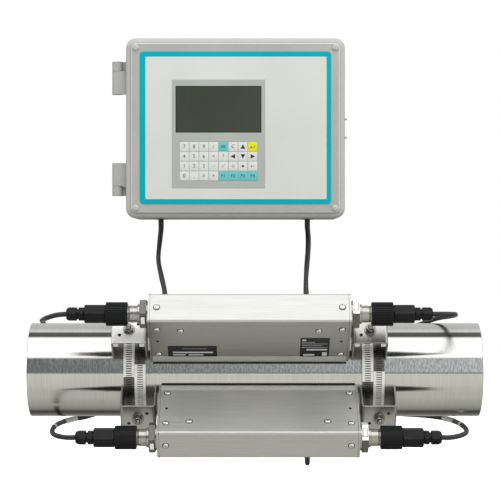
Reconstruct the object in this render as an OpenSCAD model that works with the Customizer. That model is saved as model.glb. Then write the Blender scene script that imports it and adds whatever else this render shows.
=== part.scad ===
// Ultrasonic clamp-on flow meter: a wall enclosure with a keypad door on hinges,
// and two sensor housings strapped side by side to a horizontal pipe section.
// The pipe's axis is the X axis, the front is -Y and up is +Z.

/* [Pipe] */
// Outside diameter of the pipe
pipe_od = 114.3; // [105:0.1:125]
// Wall thickness of the pipe
pipe_wall = 3.05; // [2:0.05:6]
// Pipe length to the left of the middle
pipe_left = 269; // [262:1:400]
// Pipe length to the right of the middle
pipe_right = 281; // [266:1:400]

/* [Sensor places] */
// Angle of the sensors above and below the horizontal
sensor_tilt = 34; // [32:0.5:45]
// Middle of the upper sensor housing along the pipe
upper_sensor_x = -0.5; // [-1.5:0.5:4]
// Middle of the lower sensor housing along the pipe
lower_sensor_x = 10; // [4:0.5:11]
// Gap left under everything that sits on the pipe
seat_gap = 0.2; // [0.1:0.05:0.4]

/* [Sensor housing] */
// Length of each sensor housing along the pipe
housing_length = 238; // [200:1:250]
// Width of each housing across its lid
housing_width = 39; // [36:0.5:48]
// Height of each housing above the pipe's surface
housing_height = 87.35; // [80:0.05:100]
// Thickness of the housing's sheet
housing_sheet = 1.5; // [1:0.1:2.5]
// Outside radius of the housing's bends
housing_bend = 3; // [2.8:0.1:6]
// Depth of the end cap's flanges inside the housing
cap_depth = 16; // [14:0.5:20]
// Thickness of the end cap's sheet
cap_sheet = 1.5; // [1:0.1:2.5]
// Gap between the end cap and the housing's walls
cap_gap = 0.1; // [0.05:0.05:0.3]

/* [Housing screws] */
// Shank radius of the housing screws
screw_r = 2; // [1.5:0.1:2.5]
// Head radius of the housing screws
screw_head_r = 3.6; // [3:0.1:4.5]
// Head height of the housing screws
screw_head_h = 2.2; // [1.5:0.1:3]
// Distance of the end screws from the housing's end
end_screw_inset = 10.5; // [8:0.5:12]
// Height of the lower row of screws above the pipe's surface
low_screw_height = 13.5; // [12:0.5:20]
// Height of the upper row of screws above the pipe's surface
high_screw_height = 69.5; // [60:0.5:72]
// Height of the vent holes above the pipe's surface
vent_height = 42.5; // [30:0.5:55]
// Radius of the vent holes
vent_r = 1.1; // [0.8:0.1:2]

/* [Transducers] */
// Distance of each transducer block's screw from the housing's end
block_screw_inset = 38; // [34:0.5:45]
// Height of the transducer block's screw above the pipe's surface
block_screw_height = 66.5; // [55:0.5:68]
// Length of the block's foot on the pipe
block_length = 58; // [50:1:70]
// Height of the block above the pipe's surface at its post
block_height = 75; // [70:0.5:78]
// Height of the block's foot at its low end
block_toe = 16; // [10:0.5:30]
// Length of the block's post along the pipe
block_post = 18; // [14:0.5:24]

/* [Connectors] */
// Height of the connectors' axis above the pipe's surface
connector_height = 72.35; // [66:0.05:75]
// Thickness of the seal washer under the receptacle
seal_washer = 1.5; // [1:0.1:2]
// Size of the receptacle's hexagon across its corners
receptacle_hex = 36; // [32:0.5:38]
// Length of the receptacle's hexagon
receptacle_hex_length = 8; // [6:0.5:10]
// Radius of the receptacle's threaded barrel
barrel_r = 10; // [9.5:0.1:11]
// Length of bare barrel between the hexagon and the coupling ring
barrel_bare = 14.5; // [8:0.5:16]
// Outside radius of the coupling ring over its ribs
ring_r = 14; // [13.5:0.1:16]
// Length of the coupling ring
ring_length = 25.5; // [22:0.5:30]
// Size of the plug's hexagon across its corners
plug_hex = 24.4; // [21:0.2:28]
// Length of the plug's hexagon
plug_length = 25; // [20:0.5:30]
// Size of the lock hexagon across its corners
lock_hex = 17.6; // [15:0.2:20]
// Length of the lock hexagon
lock_length = 7; // [5:0.5:9]
// Length of the gland nut
gland_length = 12.5; // [10:0.5:15]

/* [Brackets and straps] */
// Gap between each housing and its brackets
bracket_gap = 3.5; // [2:0.5:5]
// Length of each bracket along the pipe
bracket_length = 42; // [41:0.5:50]
// Width of each bracket across the sensor
bracket_width = 37; // [30:0.5:39]
// Height of each bracket above the pipe's surface
bracket_height = 37.35; // [30:0.05:42]
// Thickness of the bracket's sheet
bracket_sheet = 2; // [1.5:0.1:2.2]
// Outside radius of the bracket's bends
bracket_bend = 4; // [3:0.1:6]
// Thickness of the bracket's saddle on the pipe
saddle_sheet = 1.6; // [1:0.1:3]
// Radius of the bracket's stud
stud_r = 3; // [2.5:0.1:4]
// Width of each band strap
strap_width = 12.7; // [10:0.1:13]
// Thickness of each band strap
strap_sheet = 0.8; // [0.5:0.1:1.2]
// Gap between the two straps at one end
strap_gap = 0.8; // [0.4:0.1:1.2]
// Angle of the straps' screws below the horizontal, at the back of the pipe
strap_screw_angle = 50; // [40:1:70]

/* [Enclosure] */
// Width of the enclosure
enclosure_w = 285.75; // [260:0.25:320]
// Height of the enclosure
enclosure_h = 235; // [215:1:260]
// Depth of the enclosure's body behind the door
body_depth = 95; // [80:1:150]
// Wall thickness of the body and of the door's skirt
body_wall = 4; // [3.5:0.1:6]
// Corner radius of the enclosure, seen from the front
corner_r = 13; // [9:0.5:20]
// Middle of the enclosure along the pipe
enclosure_x = -19; // [-30:1:0]
// Height of the enclosure's underside above the pipe's axis
enclosure_z = 189; // [170:1:220]
// Distance of the door's front face behind the pipe's axis
enclosure_front = 118; // [100:1:140]
// Distance between the wall holes, across
wall_hole_dx = 240; // [225:1:244]
// Distance between the wall holes, up and down
wall_hole_dz = 190; // [180:1:194]
// Radius of the wall holes
wall_hole_r = 3.5; // [2.5:0.1:4.5]
// Left cable entry, from the middle of the enclosure
left_entry_x = -99; // [-115:0.5:-70]
// Right cable entry, from the middle of the enclosure
right_entry_x = 95; // [70:0.5:115]

/* [Door] */
// Depth of the door
door_depth = 22; // [18:0.5:30]
// Thickness of the door's front
door_wall = 3.5; // [2.5:0.1:5]
// Width of the lower step around the door's raised front
door_step = 7; // [5:0.5:9]
// Gap between the closed door and the body
door_gap = 0.3; // [0.2:0.05:0.5]
// Distance of the hinge axis outside the enclosure's left side
hinge_offset = 12; // [9.5:0.5:16]
// Radius of the hinge knuckles
knuckle_r = 7; // [6:0.5:8]
// Radius of the hinge pins
hinge_pin_r = 2.5; // [2:0.1:3.5]
// Height of each hinge's lower end from the door's middle
hinge_start = 45; // [30:1:60]
// Length of the door's knuckle
door_knuckle = 30; // [20:1:34]
// Length of the body's knuckle
body_knuckle = 12.7; // [10:0.1:16]
// Radius of the corner screws' round heads
corner_screw_r = 5; // [4:0.1:6]
// Distance of the corner screws from the door's sides
corner_screw_inset = 13; // [11:0.5:16]

/* [Front panel] */
// Width of the printed overlay
overlay_w = 249; // [235:1:252]
// Height of the printed overlay
overlay_h = 198.5; // [190:0.5:202]
// Rim of the keypad panel beside the display
display_side = 4.75; // [4:0.25:10]
// Rim of the keypad panel beside the keys
keys_side = 9.35; // [6:0.05:12]
// Rim of the keypad panel above the display
panel_top = 8.25; // [5:0.25:12]
// Bar of the keypad panel between the display and the keys
panel_bar = 11.5; // [5:0.5:14]
// Rim of the keypad panel below the keys
panel_bottom = 9.25; // [5:0.25:12]
// Keypad panel's middle, left of the door's middle
panel_left = 22; // [0:0.5:40]
// Keypad panel's middle, below the door's middle
panel_below = 8; // [0:0.5:15]
// Width of the display
display_w = 111.5; // [100:0.5:112]
// Height of the display
display_h = 60.5; // [50:0.5:62]
// Distance from one key to the next
key_pitch = 12.7; // [11:0.1:12.8]
// Gap between neighbouring keys
key_gap = 0.7; // [0.5:0.1:1]
// Travel of a key
key_travel = 0.5; // [0.3:0.05:0.8]

/* [Hidden] */
key_columns = 8;
key_rows = 4;
KEY_NAMES = [
    "key_7", "key_8", "key_9", "key_divide", "key_menu", "key_clear", "key_up", "key_enter",
    "key_4", "key_5", "key_6", "key_multiply", "key_help", "key_left", "key_down", "key_right",
    "key_1", "key_2", "key_3", "key_minus", "key_root", "key_control", "key_alternate", "key_back",
    "key_0", "key_point", "key_equals", "key_plus", "key_f1", "key_f2", "key_f3", "key_f4"
];
RING_NAMES = ["ring_upper_left", "ring_upper_right", "ring_lower_left", "ring_lower_right"];
CABLE_NAMES = ["cable_upper_left", "cable_upper_right", "cable_lower_left", "cable_lower_right"];
$fn = 72;

// How far a cut runs past the face that it leaves through
overrun = 1;
// Gap between pieces that are screwed or pressed together
assembly_gap = 0.1;
// Running clearance of a pin or spigot in its bore
running_gap = 0.05;

// The two housings, upper then lower, and the two ends of each, left then right
HOUSINGS = [0, 1];
ENDS = [-1, 1];
SIDES = [-1, 1];
sensor_x = [upper_sensor_x, lower_sensor_x];

// Distances from the pipe's axis
pipe_r = pipe_od / 2;
seat_r = pipe_r + seat_gap;
housing_r = pipe_r + housing_height;
housing_inner_w = housing_width - 2 * housing_sheet;
housing_foot = sqrt(seat_r * seat_r - housing_inner_w * housing_inner_w / 4);
cap_w = housing_inner_w - 2 * cap_gap;
cap_r = housing_r - housing_sheet - cap_gap;
cap_bend = housing_bend - housing_sheet;
bracket_r = pipe_r + bracket_height;
connector_r = pipe_r + connector_height;
saddle_r = seat_r + saddle_sheet;
strap_r = saddle_r + assembly_gap;
strap_outer_r = strap_r + strap_sheet;

// Places along a connector, outward from the housing's end
hex_x = seal_washer;
barrel_x = hex_x + receptacle_hex_length;
ring_x = barrel_x + barrel_bare;
plug_x = ring_x + ring_length;
lock_x = plug_x + plug_length;
neck_x = lock_x + lock_length;
neck_length = 2;
gland_x = neck_x + neck_length;
cable_x = gland_x + gland_length;
nose_gap = 0.3;
ring_shoulder = 10.5;
shoulder_x = plug_x - ring_shoulder;
plug_flange = 2.8;
flange_x = shoulder_x - plug_flange - assembly_gap;
barrel_end = flange_x - nose_gap;
barrel_inside = 12;
seal_washer_r = 15;
barrel_bore_r = 7;
jam_nut_hex = 26;
jam_nut_length = 4;
spigot_r = 9;
plug_flange_r = 9.9;
plug_nose_r = 6.7;
plug_nose_length = 8.5;
ring_thread_gap = 0.35;
ring_bore_r = barrel_r + ring_thread_gap;
ring_rib_depth = 0.7;
ring_ribs = 24;
rib_shares = [0, 0.25, 0.5, 0.75];
neck_r = 6;
gland_hex = 17.8;
gland_dome = 1.5;
gland_dome_r = 6.4;

// The bracket's fasteners and small holes
stud_above = 9.5;
stud_below = 9;
stud_nut_hex = 11.6;
stud_nut_h = 5;
stud_washer_r = 7.2;
stud_washer_h = 1.2;
bracket_hole_dx = 11;
bracket_hole_dy = 7.5;
bracket_hole_r = 1.6;
hole_gap = 0.1;
screw_length = 5;
bracket_middle = housing_length / 2 + bracket_gap + bracket_length / 2;

// The screw drive on each strap
worm_box = [14, 17, 9];
worm_r = 3.4;
worm_head_hex = 9.2;
worm_head_h = 5;
worm_length = 22;

// Enclosure and door
back_wall = 4;
boss_r = 9;
boss_h = 5;
standoff_r = 4;
standoff_h = 14;
board = [200, 140, 1.6];
standoff_inset = 8;
terminal_count = 6;
terminal_block = [24, 14, 16];
supply_block = [56, 44, 30];
relay_block = [20, 26, 15];
chip_block = [24, 24, 3];
seam_y = door_depth;
step_depth = 3;
groove_w = 2;
groove_depth = 2.6;
gasket_gap = 0.1;
knuckle_gap = 0.3;
knuckle_root = 0.5;
pin_end = 1.5;
overlay_sheet = 0.5;
overlay_r = 5;
panel_flange = 0.8;
panel_rim = 2;
panel_gap = 0.2;
panel_depth = 3;
key_sheet = 1.4;
key_proud = 0.3;
key_rest_gap = 0.3;
display_recess = 0.5;
board_rim = 6;
module_board = 1.6;
module_post = 3;
module_post_r = 3;
corner_head_h = 2.4;
corner_shank_r = 2.5;
side_stud_r = 1.5;
side_stud_h = 2.5;
side_stud_dz = 12;
grommet_r = 6;
grommet_flange = 2;
grommet_flange_h = 1;
entry_depth = 50.6;
cable_pitch = 7.2;
enclosure_mid = enclosure_z + enclosure_h / 2;
hinge_x = -enclosure_w / 2 - hinge_offset;
key_size = key_pitch - key_gap;
keys_w = key_columns * key_pitch + key_gap;
keys_h = key_rows * key_pitch + key_gap;
panel_w = max(display_w + 2 * display_side, keys_w + 2 * keys_side);
panel_h = panel_top + display_h + panel_bar + keys_h + panel_bottom;
display_above = panel_h / 2 - panel_top - display_h / 2;
keys_below = panel_h / 2 - panel_bottom - keys_h / 2;
panel_inner_w = panel_w - 2 * panel_rim;
panel_inner_h = panel_h - 2 * panel_rim;
opening_w = panel_inner_w + 2 * panel_gap;
opening_h = panel_inner_h + 2 * panel_gap;
module_y = door_wall + module_post;
corner_screw_x = enclosure_w / 2 - corner_screw_inset;
corner_screw_z = enclosure_h / 2 - corner_screw_inset;

// Cables: the points that each one's middle follows, from its plug to the enclosure
cable_r = 3;
cable_sides = 8;
least_sine = 0.000001;
route_upper_left = [
    [-215.5, -107.4, 72.4], [-226, -106.5, 71.4], [-235.2, -98, 69.1], [-243.2, -80, 66.2],
    [-249.2, -48, 63.8], [-254.2, -15, 61.5], [-258.5, 18, 59], [-256, 44, 51],
    [-248, 64, 46.5], [-232, 77, 43], [-206, 84, 40], [-172, 84, 38],
    [-140, 85, 47], [-118, 91, 65], [-110.5, 102, 90], [-116, 122, 114],
    [-120.5, 144, 137], [-119, 162, 161], [-117.5, 165, 176], [-117.5, 165, 188]
];
route_lower_left = [
    [-205, -107.4, -72.4], [-216, -107.4, -72.4], [-228, -100.5, -71], [-234.7, -83, -69.1],
    [-237, -55, -67.2], [-236.4, -22, -66.2], [-231.8, 10, -65.4], [-221.7, 39, -64.7],
    [-205, 62, -63.2], [-182, 73, -55], [-160, 77, -37], [-142, 78, -8],
    [-128, 81, 25], [-114, 92, 56], [-109.5, 106, 84], [-114, 125, 108],
    [-120.5, 149, 132], [-120.5, 166, 155], [-119, 172.2, 174], [-119, 172.2, 188]
];
route_upper_right = [
    [214.5, -107.4, 72.4], [226, -107.4, 72.4], [237.5, -100.5, 72], [244, -82, 71],
    [245.5, -54, 69], [241.5, -24, 66.5], [233, 6, 63.5], [222, 31, 58],
    [208, 53, 51], [187, 71, 43], [160, 80, 39], [126, 84, 41],
    [97, 86, 52], [78, 93, 72], [73, 106, 95], [73.5, 127, 121],
    [76, 149, 147], [76.5, 162, 167], [75.5, 165, 178], [75.5, 165, 188]
];
route_lower_right = [
    [225, -107.4, -72.4], [236, -107.4, -72.4], [249, -100, -70.5], [257, -82, -68.8],
    [259.5, -50, -67], [257.5, -16, -65.6], [251.5, 15, -64.2], [239, 41, -63],
    [217, 60, -62], [182, 69, -61], [144, 68, -62], [108, 57, -64.5],
    [86, 38, -72], [74.5, 21, -85], [72, 18, -104], [72, 33, -119],
    [72, 55, -118], [72, 68, -101], [72, 72, -70], [72, 73, -36],
    [72, 74, 0], [71.5, 83, 46], [72, 103, 81], [73, 127, 108],
    [76, 150, 134], [78, 167, 158], [77, 172.2, 176], [77, 172.2, 188]
];
ROUTES = [route_upper_left, route_upper_right, route_lower_left, route_lower_right];

steel = [0.74, 0.75, 0.76];
bright_steel = [0.82, 0.83, 0.84];
black_plastic = [0.1, 0.1, 0.11];
black_rubber = [0.06, 0.06, 0.06];
grey_plastic = [0.68, 0.68, 0.66];
pale_grey = [0.85, 0.86, 0.83];
panel_grey = [0.68, 0.71, 0.69];
key_turquoise = [0.42, 0.77, 0.77];
key_yellow = [0.9, 0.88, 0.18];
key_white = [0.87, 0.87, 0.86];
display_green = [0.27, 0.3, 0.26];
board_green = [0.1, 0.35, 0.2];

function unit(v) = v / norm(v);
function turn(v, axis, angle) =
    v * cos(angle) + cross(axis, v) * sin(angle) + axis * (axis * v) * (1 - cos(angle));

// The direction of a route at point i
function tangent(route, i) =
    let (last = len(route) - 1)
    unit(route[min(i + 1, last)] - route[max(i - 1, 0)]);

// A sideways direction that is carried along the route without twisting
function carried(side, from, to) =
    let (axis = cross(from, to), sine = norm(axis))
    sine < least_sine ? side : turn(side, axis / sine, asin(min(sine, 1)));
function sideways(route, i) =
    i == 0
        ? unit(cross(tangent(route, 0), [0, 0, 1]))
        : carried(sideways(route, i - 1), tangent(route, i - 1), tangent(route, i));

function ring_points(route, i, radius) =
    let (along = tangent(route, i), side = sideways(route, i))
    [for (k = [0:cable_sides - 1]) route[i] + radius * turn(side, along, k * 360 / cable_sides)];

// Moves children from sensor space, where +X runs along the pipe and +Z points
// away from it, to the upper (0) or lower (1) sensor
module at_sensor(i) {
    translate([sensor_x[i], 0, 0])
        mirror([0, 0, i])
            rotate([90 - sensor_tilt, 0, 0])
                children();
}

// Moves children so that +X points outward from one end of a sensor housing
module at_end(i, end) {
    at_sensor(i)
        mirror([end < 0 ? 1 : 0, 0, 0])
            translate([housing_length / 2, 0, 0])
                children();
}

// Moves children to the axis of the connector at one end of a housing
module at_connector(i, end) {
    at_end(i, end)
        translate([0, 0, connector_r])
            children();
}

// Moves children to the middle of the closed door's front face
module at_enclosure() {
    translate([enclosure_x, enclosure_front, enclosure_mid])
        children();
}

module along_x(length) {
    rotate([90, 0, 90])
        linear_extrude(length)
            children();
}

module along_y(length) {
    translate([0, length, 0])
        rotate([90, 0, 0])
            linear_extrude(length)
                children();
}

module rod_x(start, end, radius) {
    translate([start, 0, 0])
        rotate([0, 90, 0])
            cylinder(h = end - start, r = radius);
}

// A hexagonal bar along X with two of its flats level with the housing's lid
module hex_x(start, end, across_corners) {
    translate([start, 0, 0])
        rotate([0, 90, 0])
            rotate([0, 0, 30])
                cylinder(h = end - start, d = across_corners, $fn = 6);
}

// A rectangle on the line y = bottom whose two upper corners are round
module round_top(width, bottom, top, radius) {
    translate([-width / 2, bottom])
        square([width, top - radius - bottom]);
    translate([-width / 2 + radius, bottom])
        square([width - 2 * radius, top - bottom]);
    for (side = SIDES)
        translate([side * (width / 2 - radius), top - radius])
            circle(radius);
}

module round_rect(width, height, radius) {
    square([width - 2 * radius, height], center = true);
    square([width, height - 2 * radius], center = true);
    for (side = SIDES, level = SIDES)
        translate([side * (width / 2 - radius), level * (height / 2 - radius)])
            circle(radius);
}

// The pipe's own space with the gap around it, to be cut from what sits on it
module pipe_space(radius) {
    rod_x(-housing_length, housing_length, radius);
}

// Screw places in end space: each is [x, height above the pipe, side],
// where side is -1 or 1 for the tall walls and 0 for the lid
function screw_places() = [
    [-end_screw_inset, pipe_r + low_screw_height, -1],
    [-end_screw_inset, pipe_r + low_screw_height, 1],
    [-end_screw_inset, pipe_r + high_screw_height, -1],
    [-end_screw_inset, pipe_r + high_screw_height, 1],
    [-block_screw_inset, pipe_r + block_screw_height, -1],
    [-block_screw_inset, pipe_r + block_screw_height, 1],
    [-end_screw_inset, housing_r, 0]
];

// Moves children so that +Z points out of the wall at a screw's place
module at_screw(place) {
    if (place[2] == 0)
        translate([place[0], 0, housing_r])
            children();
    else
        translate([place[0], place[2] * housing_width / 2, place[1]])
            rotate([-90 * place[2], 0, 0])
                children();
}

module screw_holes() {
    for (place = screw_places())
        at_screw(place)
            translate([0, 0, -screw_length - overrun])
                cylinder(h = screw_length + 2 * overrun, r = screw_r + hole_gap);
    for (side = SIDES)
        translate([-end_screw_inset, side * housing_width / 2, pipe_r + vent_height])
            rotate([-90 * side, 0, 0])
                translate([0, 0, -screw_length])
                    cylinder(h = screw_length + overrun, r = vent_r);
}

module housing_screw() {
    cylinder(h = screw_head_h, r = screw_head_r);
    translate([0, 0, -screw_length])
        cylinder(h = screw_length + screw_head_h / 2, r = screw_r);
}

module pipe_section() {
    color(bright_steel)
        difference() {
            rod_x(-pipe_left, pipe_right, pipe_r);
            rod_x(-pipe_left - overrun, pipe_right + overrun, pipe_r - pipe_wall);
        }
}

module one_housing() {
    difference() {
        translate([-housing_length / 2, 0, 0])
            along_x(housing_length)
                round_top(housing_width, housing_foot, housing_r, housing_bend);
        translate([-housing_length / 2 - overrun, 0, 0])
            along_x(housing_length + 2 * overrun)
                round_top(
                    housing_inner_w,
                    housing_foot - overrun,
                    housing_r - housing_sheet,
                    housing_bend - housing_sheet
                );
        for (end = ENDS)
            mirror([end < 0 ? 1 : 0, 0, 0])
                translate([housing_length / 2, 0, 0])
                    screw_holes();
    }
}

module sensor_housings() {
    color(steel)
        for (i = HOUSINGS)
            at_sensor(i)
                one_housing();
}

// A shallow pressed cap whose flanges are screwed inside the housing's end
module one_end_cap() {
    difference() {
        translate([-cap_depth, 0, 0])
            along_x(cap_depth)
                round_top(cap_w, housing_foot, cap_r, cap_bend);
        translate([-cap_depth - overrun, 0, 0])
            along_x(cap_depth + overrun - cap_sheet)
                round_top(
                    cap_w - 2 * cap_sheet,
                    housing_foot - overrun,
                    cap_r - cap_sheet,
                    cap_bend / 2
                );
        pipe_space(seat_r);
        screw_holes();
        translate([0, 0, connector_r])
            rod_x(-cap_depth, overrun, barrel_r + hole_gap);
    }
}

module housing_end_caps() {
    color(steel)
        for (i = HOUSINGS, end = ENDS)
            at_end(i, end)
                one_end_cap();
}

// A sloping plastic block that carries the crystal and presses on the pipe
module one_block() {
    post_left = -block_screw_inset - block_post / 2;
    post_right = -block_screw_inset + block_post / 2;
    toe_left = post_right - block_length;
    half_height = (block_height + block_toe) / 2;
    difference() {
        translate([0, -cap_w / 2, 0])
            along_y(cap_w)
                polygon([
                    [toe_left, housing_foot],
                    [post_right, housing_foot],
                    [post_right, pipe_r + block_height],
                    [post_left, pipe_r + block_height],
                    [post_left, pipe_r + half_height],
                    [toe_left, pipe_r + block_toe]
                ]);
        pipe_space(seat_r);
        screw_holes();
    }
}

module transducer_blocks() {
    color("dimgray")
        for (i = HOUSINGS, end = ENDS)
            at_end(i, end)
                one_block();
}

// A nut or washer around the bracket's stud, from one height to another
module on_stud(start, end) {
    difference() {
        translate([0, 0, start])
            children();
        translate([0, 0, start - overrun])
            cylinder(h = end - start + 2 * overrun, r = stud_r + running_gap);
    }
}

module stud_nut(start) {
    on_stud(start, start + stud_nut_h)
        cylinder(h = stud_nut_h, d = stud_nut_hex, $fn = 6);
}

module bracket_stud() {
    web_under = bracket_r - bracket_sheet;
    washer_at = bracket_r + assembly_gap;
    washer_top = washer_at + stud_washer_h;
    on_stud(washer_at, washer_top)
        cylinder(h = stud_washer_h, r = stud_washer_r);
    stud_nut(washer_top + assembly_gap);
    stud_nut(web_under - assembly_gap - stud_nut_h);
    translate([0, 0, web_under - stud_below])
        cylinder(h = stud_below + bracket_sheet + stud_above, r = stud_r);
}

module sensor_fasteners() {
    color(bright_steel)
        for (i = HOUSINGS, end = ENDS) {
            at_end(i, end)
                for (place = screw_places())
                    at_screw(place)
                        housing_screw();
            at_end(i, end)
                translate([bracket_gap + bracket_length / 2, 0, 0])
                    bracket_stud();
        }
}

// A folded channel that stands on the pipe, with a curved saddle under the straps
module one_bracket(hole_side) {
    difference() {
        union() {
            difference() {
                translate([0, -bracket_width / 2, 0])
                    along_y(bracket_width)
                        round_top(bracket_length, housing_foot, bracket_r, bracket_bend);
                translate([0, -bracket_width / 2 - overrun, 0])
                    along_y(bracket_width + 2 * overrun)
                        round_top(
                            bracket_length - 2 * bracket_sheet,
                            housing_foot - overrun,
                            bracket_r - bracket_sheet,
                            bracket_bend - bracket_sheet
                        );
            }
            intersection() {
                rod_x(-bracket_length / 2 + bracket_sheet / 2,
                    bracket_length / 2 - bracket_sheet / 2, saddle_r);
                translate([-bracket_length / 2, -bracket_width / 2, 0])
                    cube([bracket_length, bracket_width, saddle_r + overrun]);
            }
        }
        pipe_space(seat_r);
        translate([0, 0, bracket_r - bracket_sheet - overrun])
            cylinder(h = bracket_sheet + 2 * overrun, r = stud_r + hole_gap);
        for (side = SIDES)
            translate([
                side * hole_side * bracket_hole_dx,
                side * bracket_hole_dy,
                bracket_r - bracket_sheet - overrun
            ])
                cylinder(h = bracket_sheet + 2 * overrun, r = bracket_hole_r);
    }
}

module mounting_brackets() {
    color(steel)
        for (i = HOUSINGS, end = ENDS)
            at_end(i, end)
                translate([bracket_gap + bracket_length / 2, 0, 0])
                    one_bracket(i == 0 ? end : -end);
}

// Middles of the four straps along the pipe, two at each end
function strap_places() = [
    for (end = ENDS, side = SIDES)
        (sensor_x[0] + sensor_x[1]) / 2
            + end * bracket_middle
            + side * (strap_width + strap_gap) / 2
];

// Moves children to a strap's screw drive, with +Z away from the pipe
module at_strap_screw(place) {
    translate([place, 0, 0])
        rotate([-90 - strap_screw_angle, 0, 0])
            translate([0, 0, strap_outer_r])
                children();
}

module band_straps() {
    color(steel)
        for (place = strap_places())
            translate([place, 0, 0])
                difference() {
                    rod_x(-strap_width / 2, strap_width / 2, strap_outer_r);
                    rod_x(-strap_width, strap_width, strap_r);
                }
}

// The screw drive of one strap: a pressed housing on the band, and its worm screw
module strap_screw(place) {
    box_w = min(worm_box[0], strap_width);
    difference() {
        at_strap_screw(place)
            translate([-box_w / 2, -worm_box[1] / 2, -strap_sheet])
                cube([box_w, worm_box[1], worm_box[2] + strap_sheet]);
        translate([place, 0, 0])
            rod_x(-strap_width, strap_width, strap_outer_r + assembly_gap);
        at_strap_screw(place)
            translate([0, worm_length, worm_box[2] / 2])
                rotate([90, 0, 0])
                    cylinder(h = 2 * worm_length, r = worm_r + running_gap);
    }
    at_strap_screw(place)
        translate([0, 0, worm_box[2] / 2])
            rotate([90, 0, 0]) {
                translate([0, 0, -worm_length / 2])
                    cylinder(h = worm_length + worm_head_h, r = worm_r);
                translate([0, 0, worm_length / 2])
                    cylinder(h = worm_head_h, d = worm_head_hex, $fn = 6);
            }
}

module strap_screws() {
    color(bright_steel)
        for (place = strap_places())
            strap_screw(place);
}

module one_receptacle() {
    difference() {
        rod_x(0, seal_washer - assembly_gap, seal_washer_r);
        rod_x(-overrun, seal_washer + overrun, barrel_r + hole_gap);
    }
    difference() {
        union() {
            hex_x(hex_x, barrel_x, receptacle_hex);
            rod_x(-barrel_inside, barrel_end, barrel_r);
        }
        rod_x(-barrel_inside - overrun, barrel_end + overrun, barrel_bore_r);
    }
    difference() {
        hex_x(-cap_sheet - assembly_gap - jam_nut_length, -cap_sheet - assembly_gap, jam_nut_hex);
        rod_x(-cap_depth, overrun, barrel_r + hole_gap);
    }
}

module sensor_receptacles() {
    color(steel)
        for (i = HOUSINGS, end = ENDS)
            at_connector(i, end)
                one_receptacle();
}

// A ring of straight ribs, for a good grip
module ribbed_outline() {
    step = 360 / ring_ribs;
    polygon([
        for (k = [0:ring_ribs - 1], share = rib_shares)
            let (radius = share < rib_shares[2] ? ring_r : ring_r - ring_rib_depth)
            radius * [cos((k + share) * step), sin((k + share) * step)]
    ]);
}

module coupling_ring(i, end) {
    color(black_plastic)
        at_connector(i, end)
            difference() {
                translate([ring_x, 0, 0])
                    along_x(ring_length)
                        ribbed_outline();
                rod_x(ring_x - overrun, shoulder_x, ring_bore_r);
                rod_x(shoulder_x - overrun, plug_x + overrun, spigot_r + running_gap);
            }
}

module one_plug() {
    rod_x(flange_x - plug_nose_length, flange_x + plug_flange, plug_nose_r);
    rod_x(flange_x, flange_x + plug_flange, plug_flange_r);
    rod_x(flange_x, lock_x, spigot_r);
    hex_x(plug_x + assembly_gap, lock_x, plug_hex);
    hex_x(lock_x + assembly_gap, neck_x, lock_hex);
    rod_x(lock_x + assembly_gap, gland_x - assembly_gap, neck_r);
    hex_x(gland_x, cable_x - gland_dome, gland_hex);
    rod_x(gland_x, cable_x, gland_dome_r);
}

module cable_plugs() {
    color(black_plastic)
        for (i = HOUSINGS, end = ENDS)
            at_connector(i, end)
                one_plug();
}

module cable(route) {
    count = len(route);
    points = [for (i = [0:count - 1]) each ring_points(route, i, cable_r)];
    walls = [
        for (i = [0:count - 2], k = [0:cable_sides - 1])
            let (
                here = i * cable_sides + k,
                beside = i * cable_sides + (k + 1) % cable_sides
            )
            each [
                [here, beside, here + cable_sides],
                [beside, beside + cable_sides, here + cable_sides]
            ]
    ];
    start_cap = [[for (k = [cable_sides - 1:-1:0]) k]];
    end_cap = [[for (k = [0:cable_sides - 1]) (count - 1) * cable_sides + k]];
    color(black_rubber)
        polyhedron(points = points, faces = concat(start_cap, walls, end_cap));
}

// Places in the two directions of four pieces at the corners of a rectangle
function corners(half_x, half_z) = [for (side = SIDES, level = SIDES) [side * half_x, level * half_z]];

module hinge_knuckle(start, end, near_y, far_y) {
    for (level = SIDES)
        mirror([0, 0, level < 0 ? 1 : 0])
            difference() {
                union() {
                    translate([hinge_x, seam_y, start])
                        cylinder(h = end - start, r = knuckle_r);
                    translate([hinge_x, near_y, start])
                        cube([hinge_offset + knuckle_root, far_y - near_y, end - start]);
                }
                translate([hinge_x, seam_y, start - overrun])
                    cylinder(h = end - start + 2 * overrun, r = hinge_pin_r + running_gap);
            }
}

// An oval outline across the underside, for the two cables of one entry
module entry_outline(radius) {
    square([2 * radius, cable_pitch], center = true);
    for (side = SIDES)
        translate([0, side * cable_pitch / 2])
            circle(radius);
}

module at_entry(entry_x) {
    translate([entry_x, entry_depth, -enclosure_h / 2])
        children();
}

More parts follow.
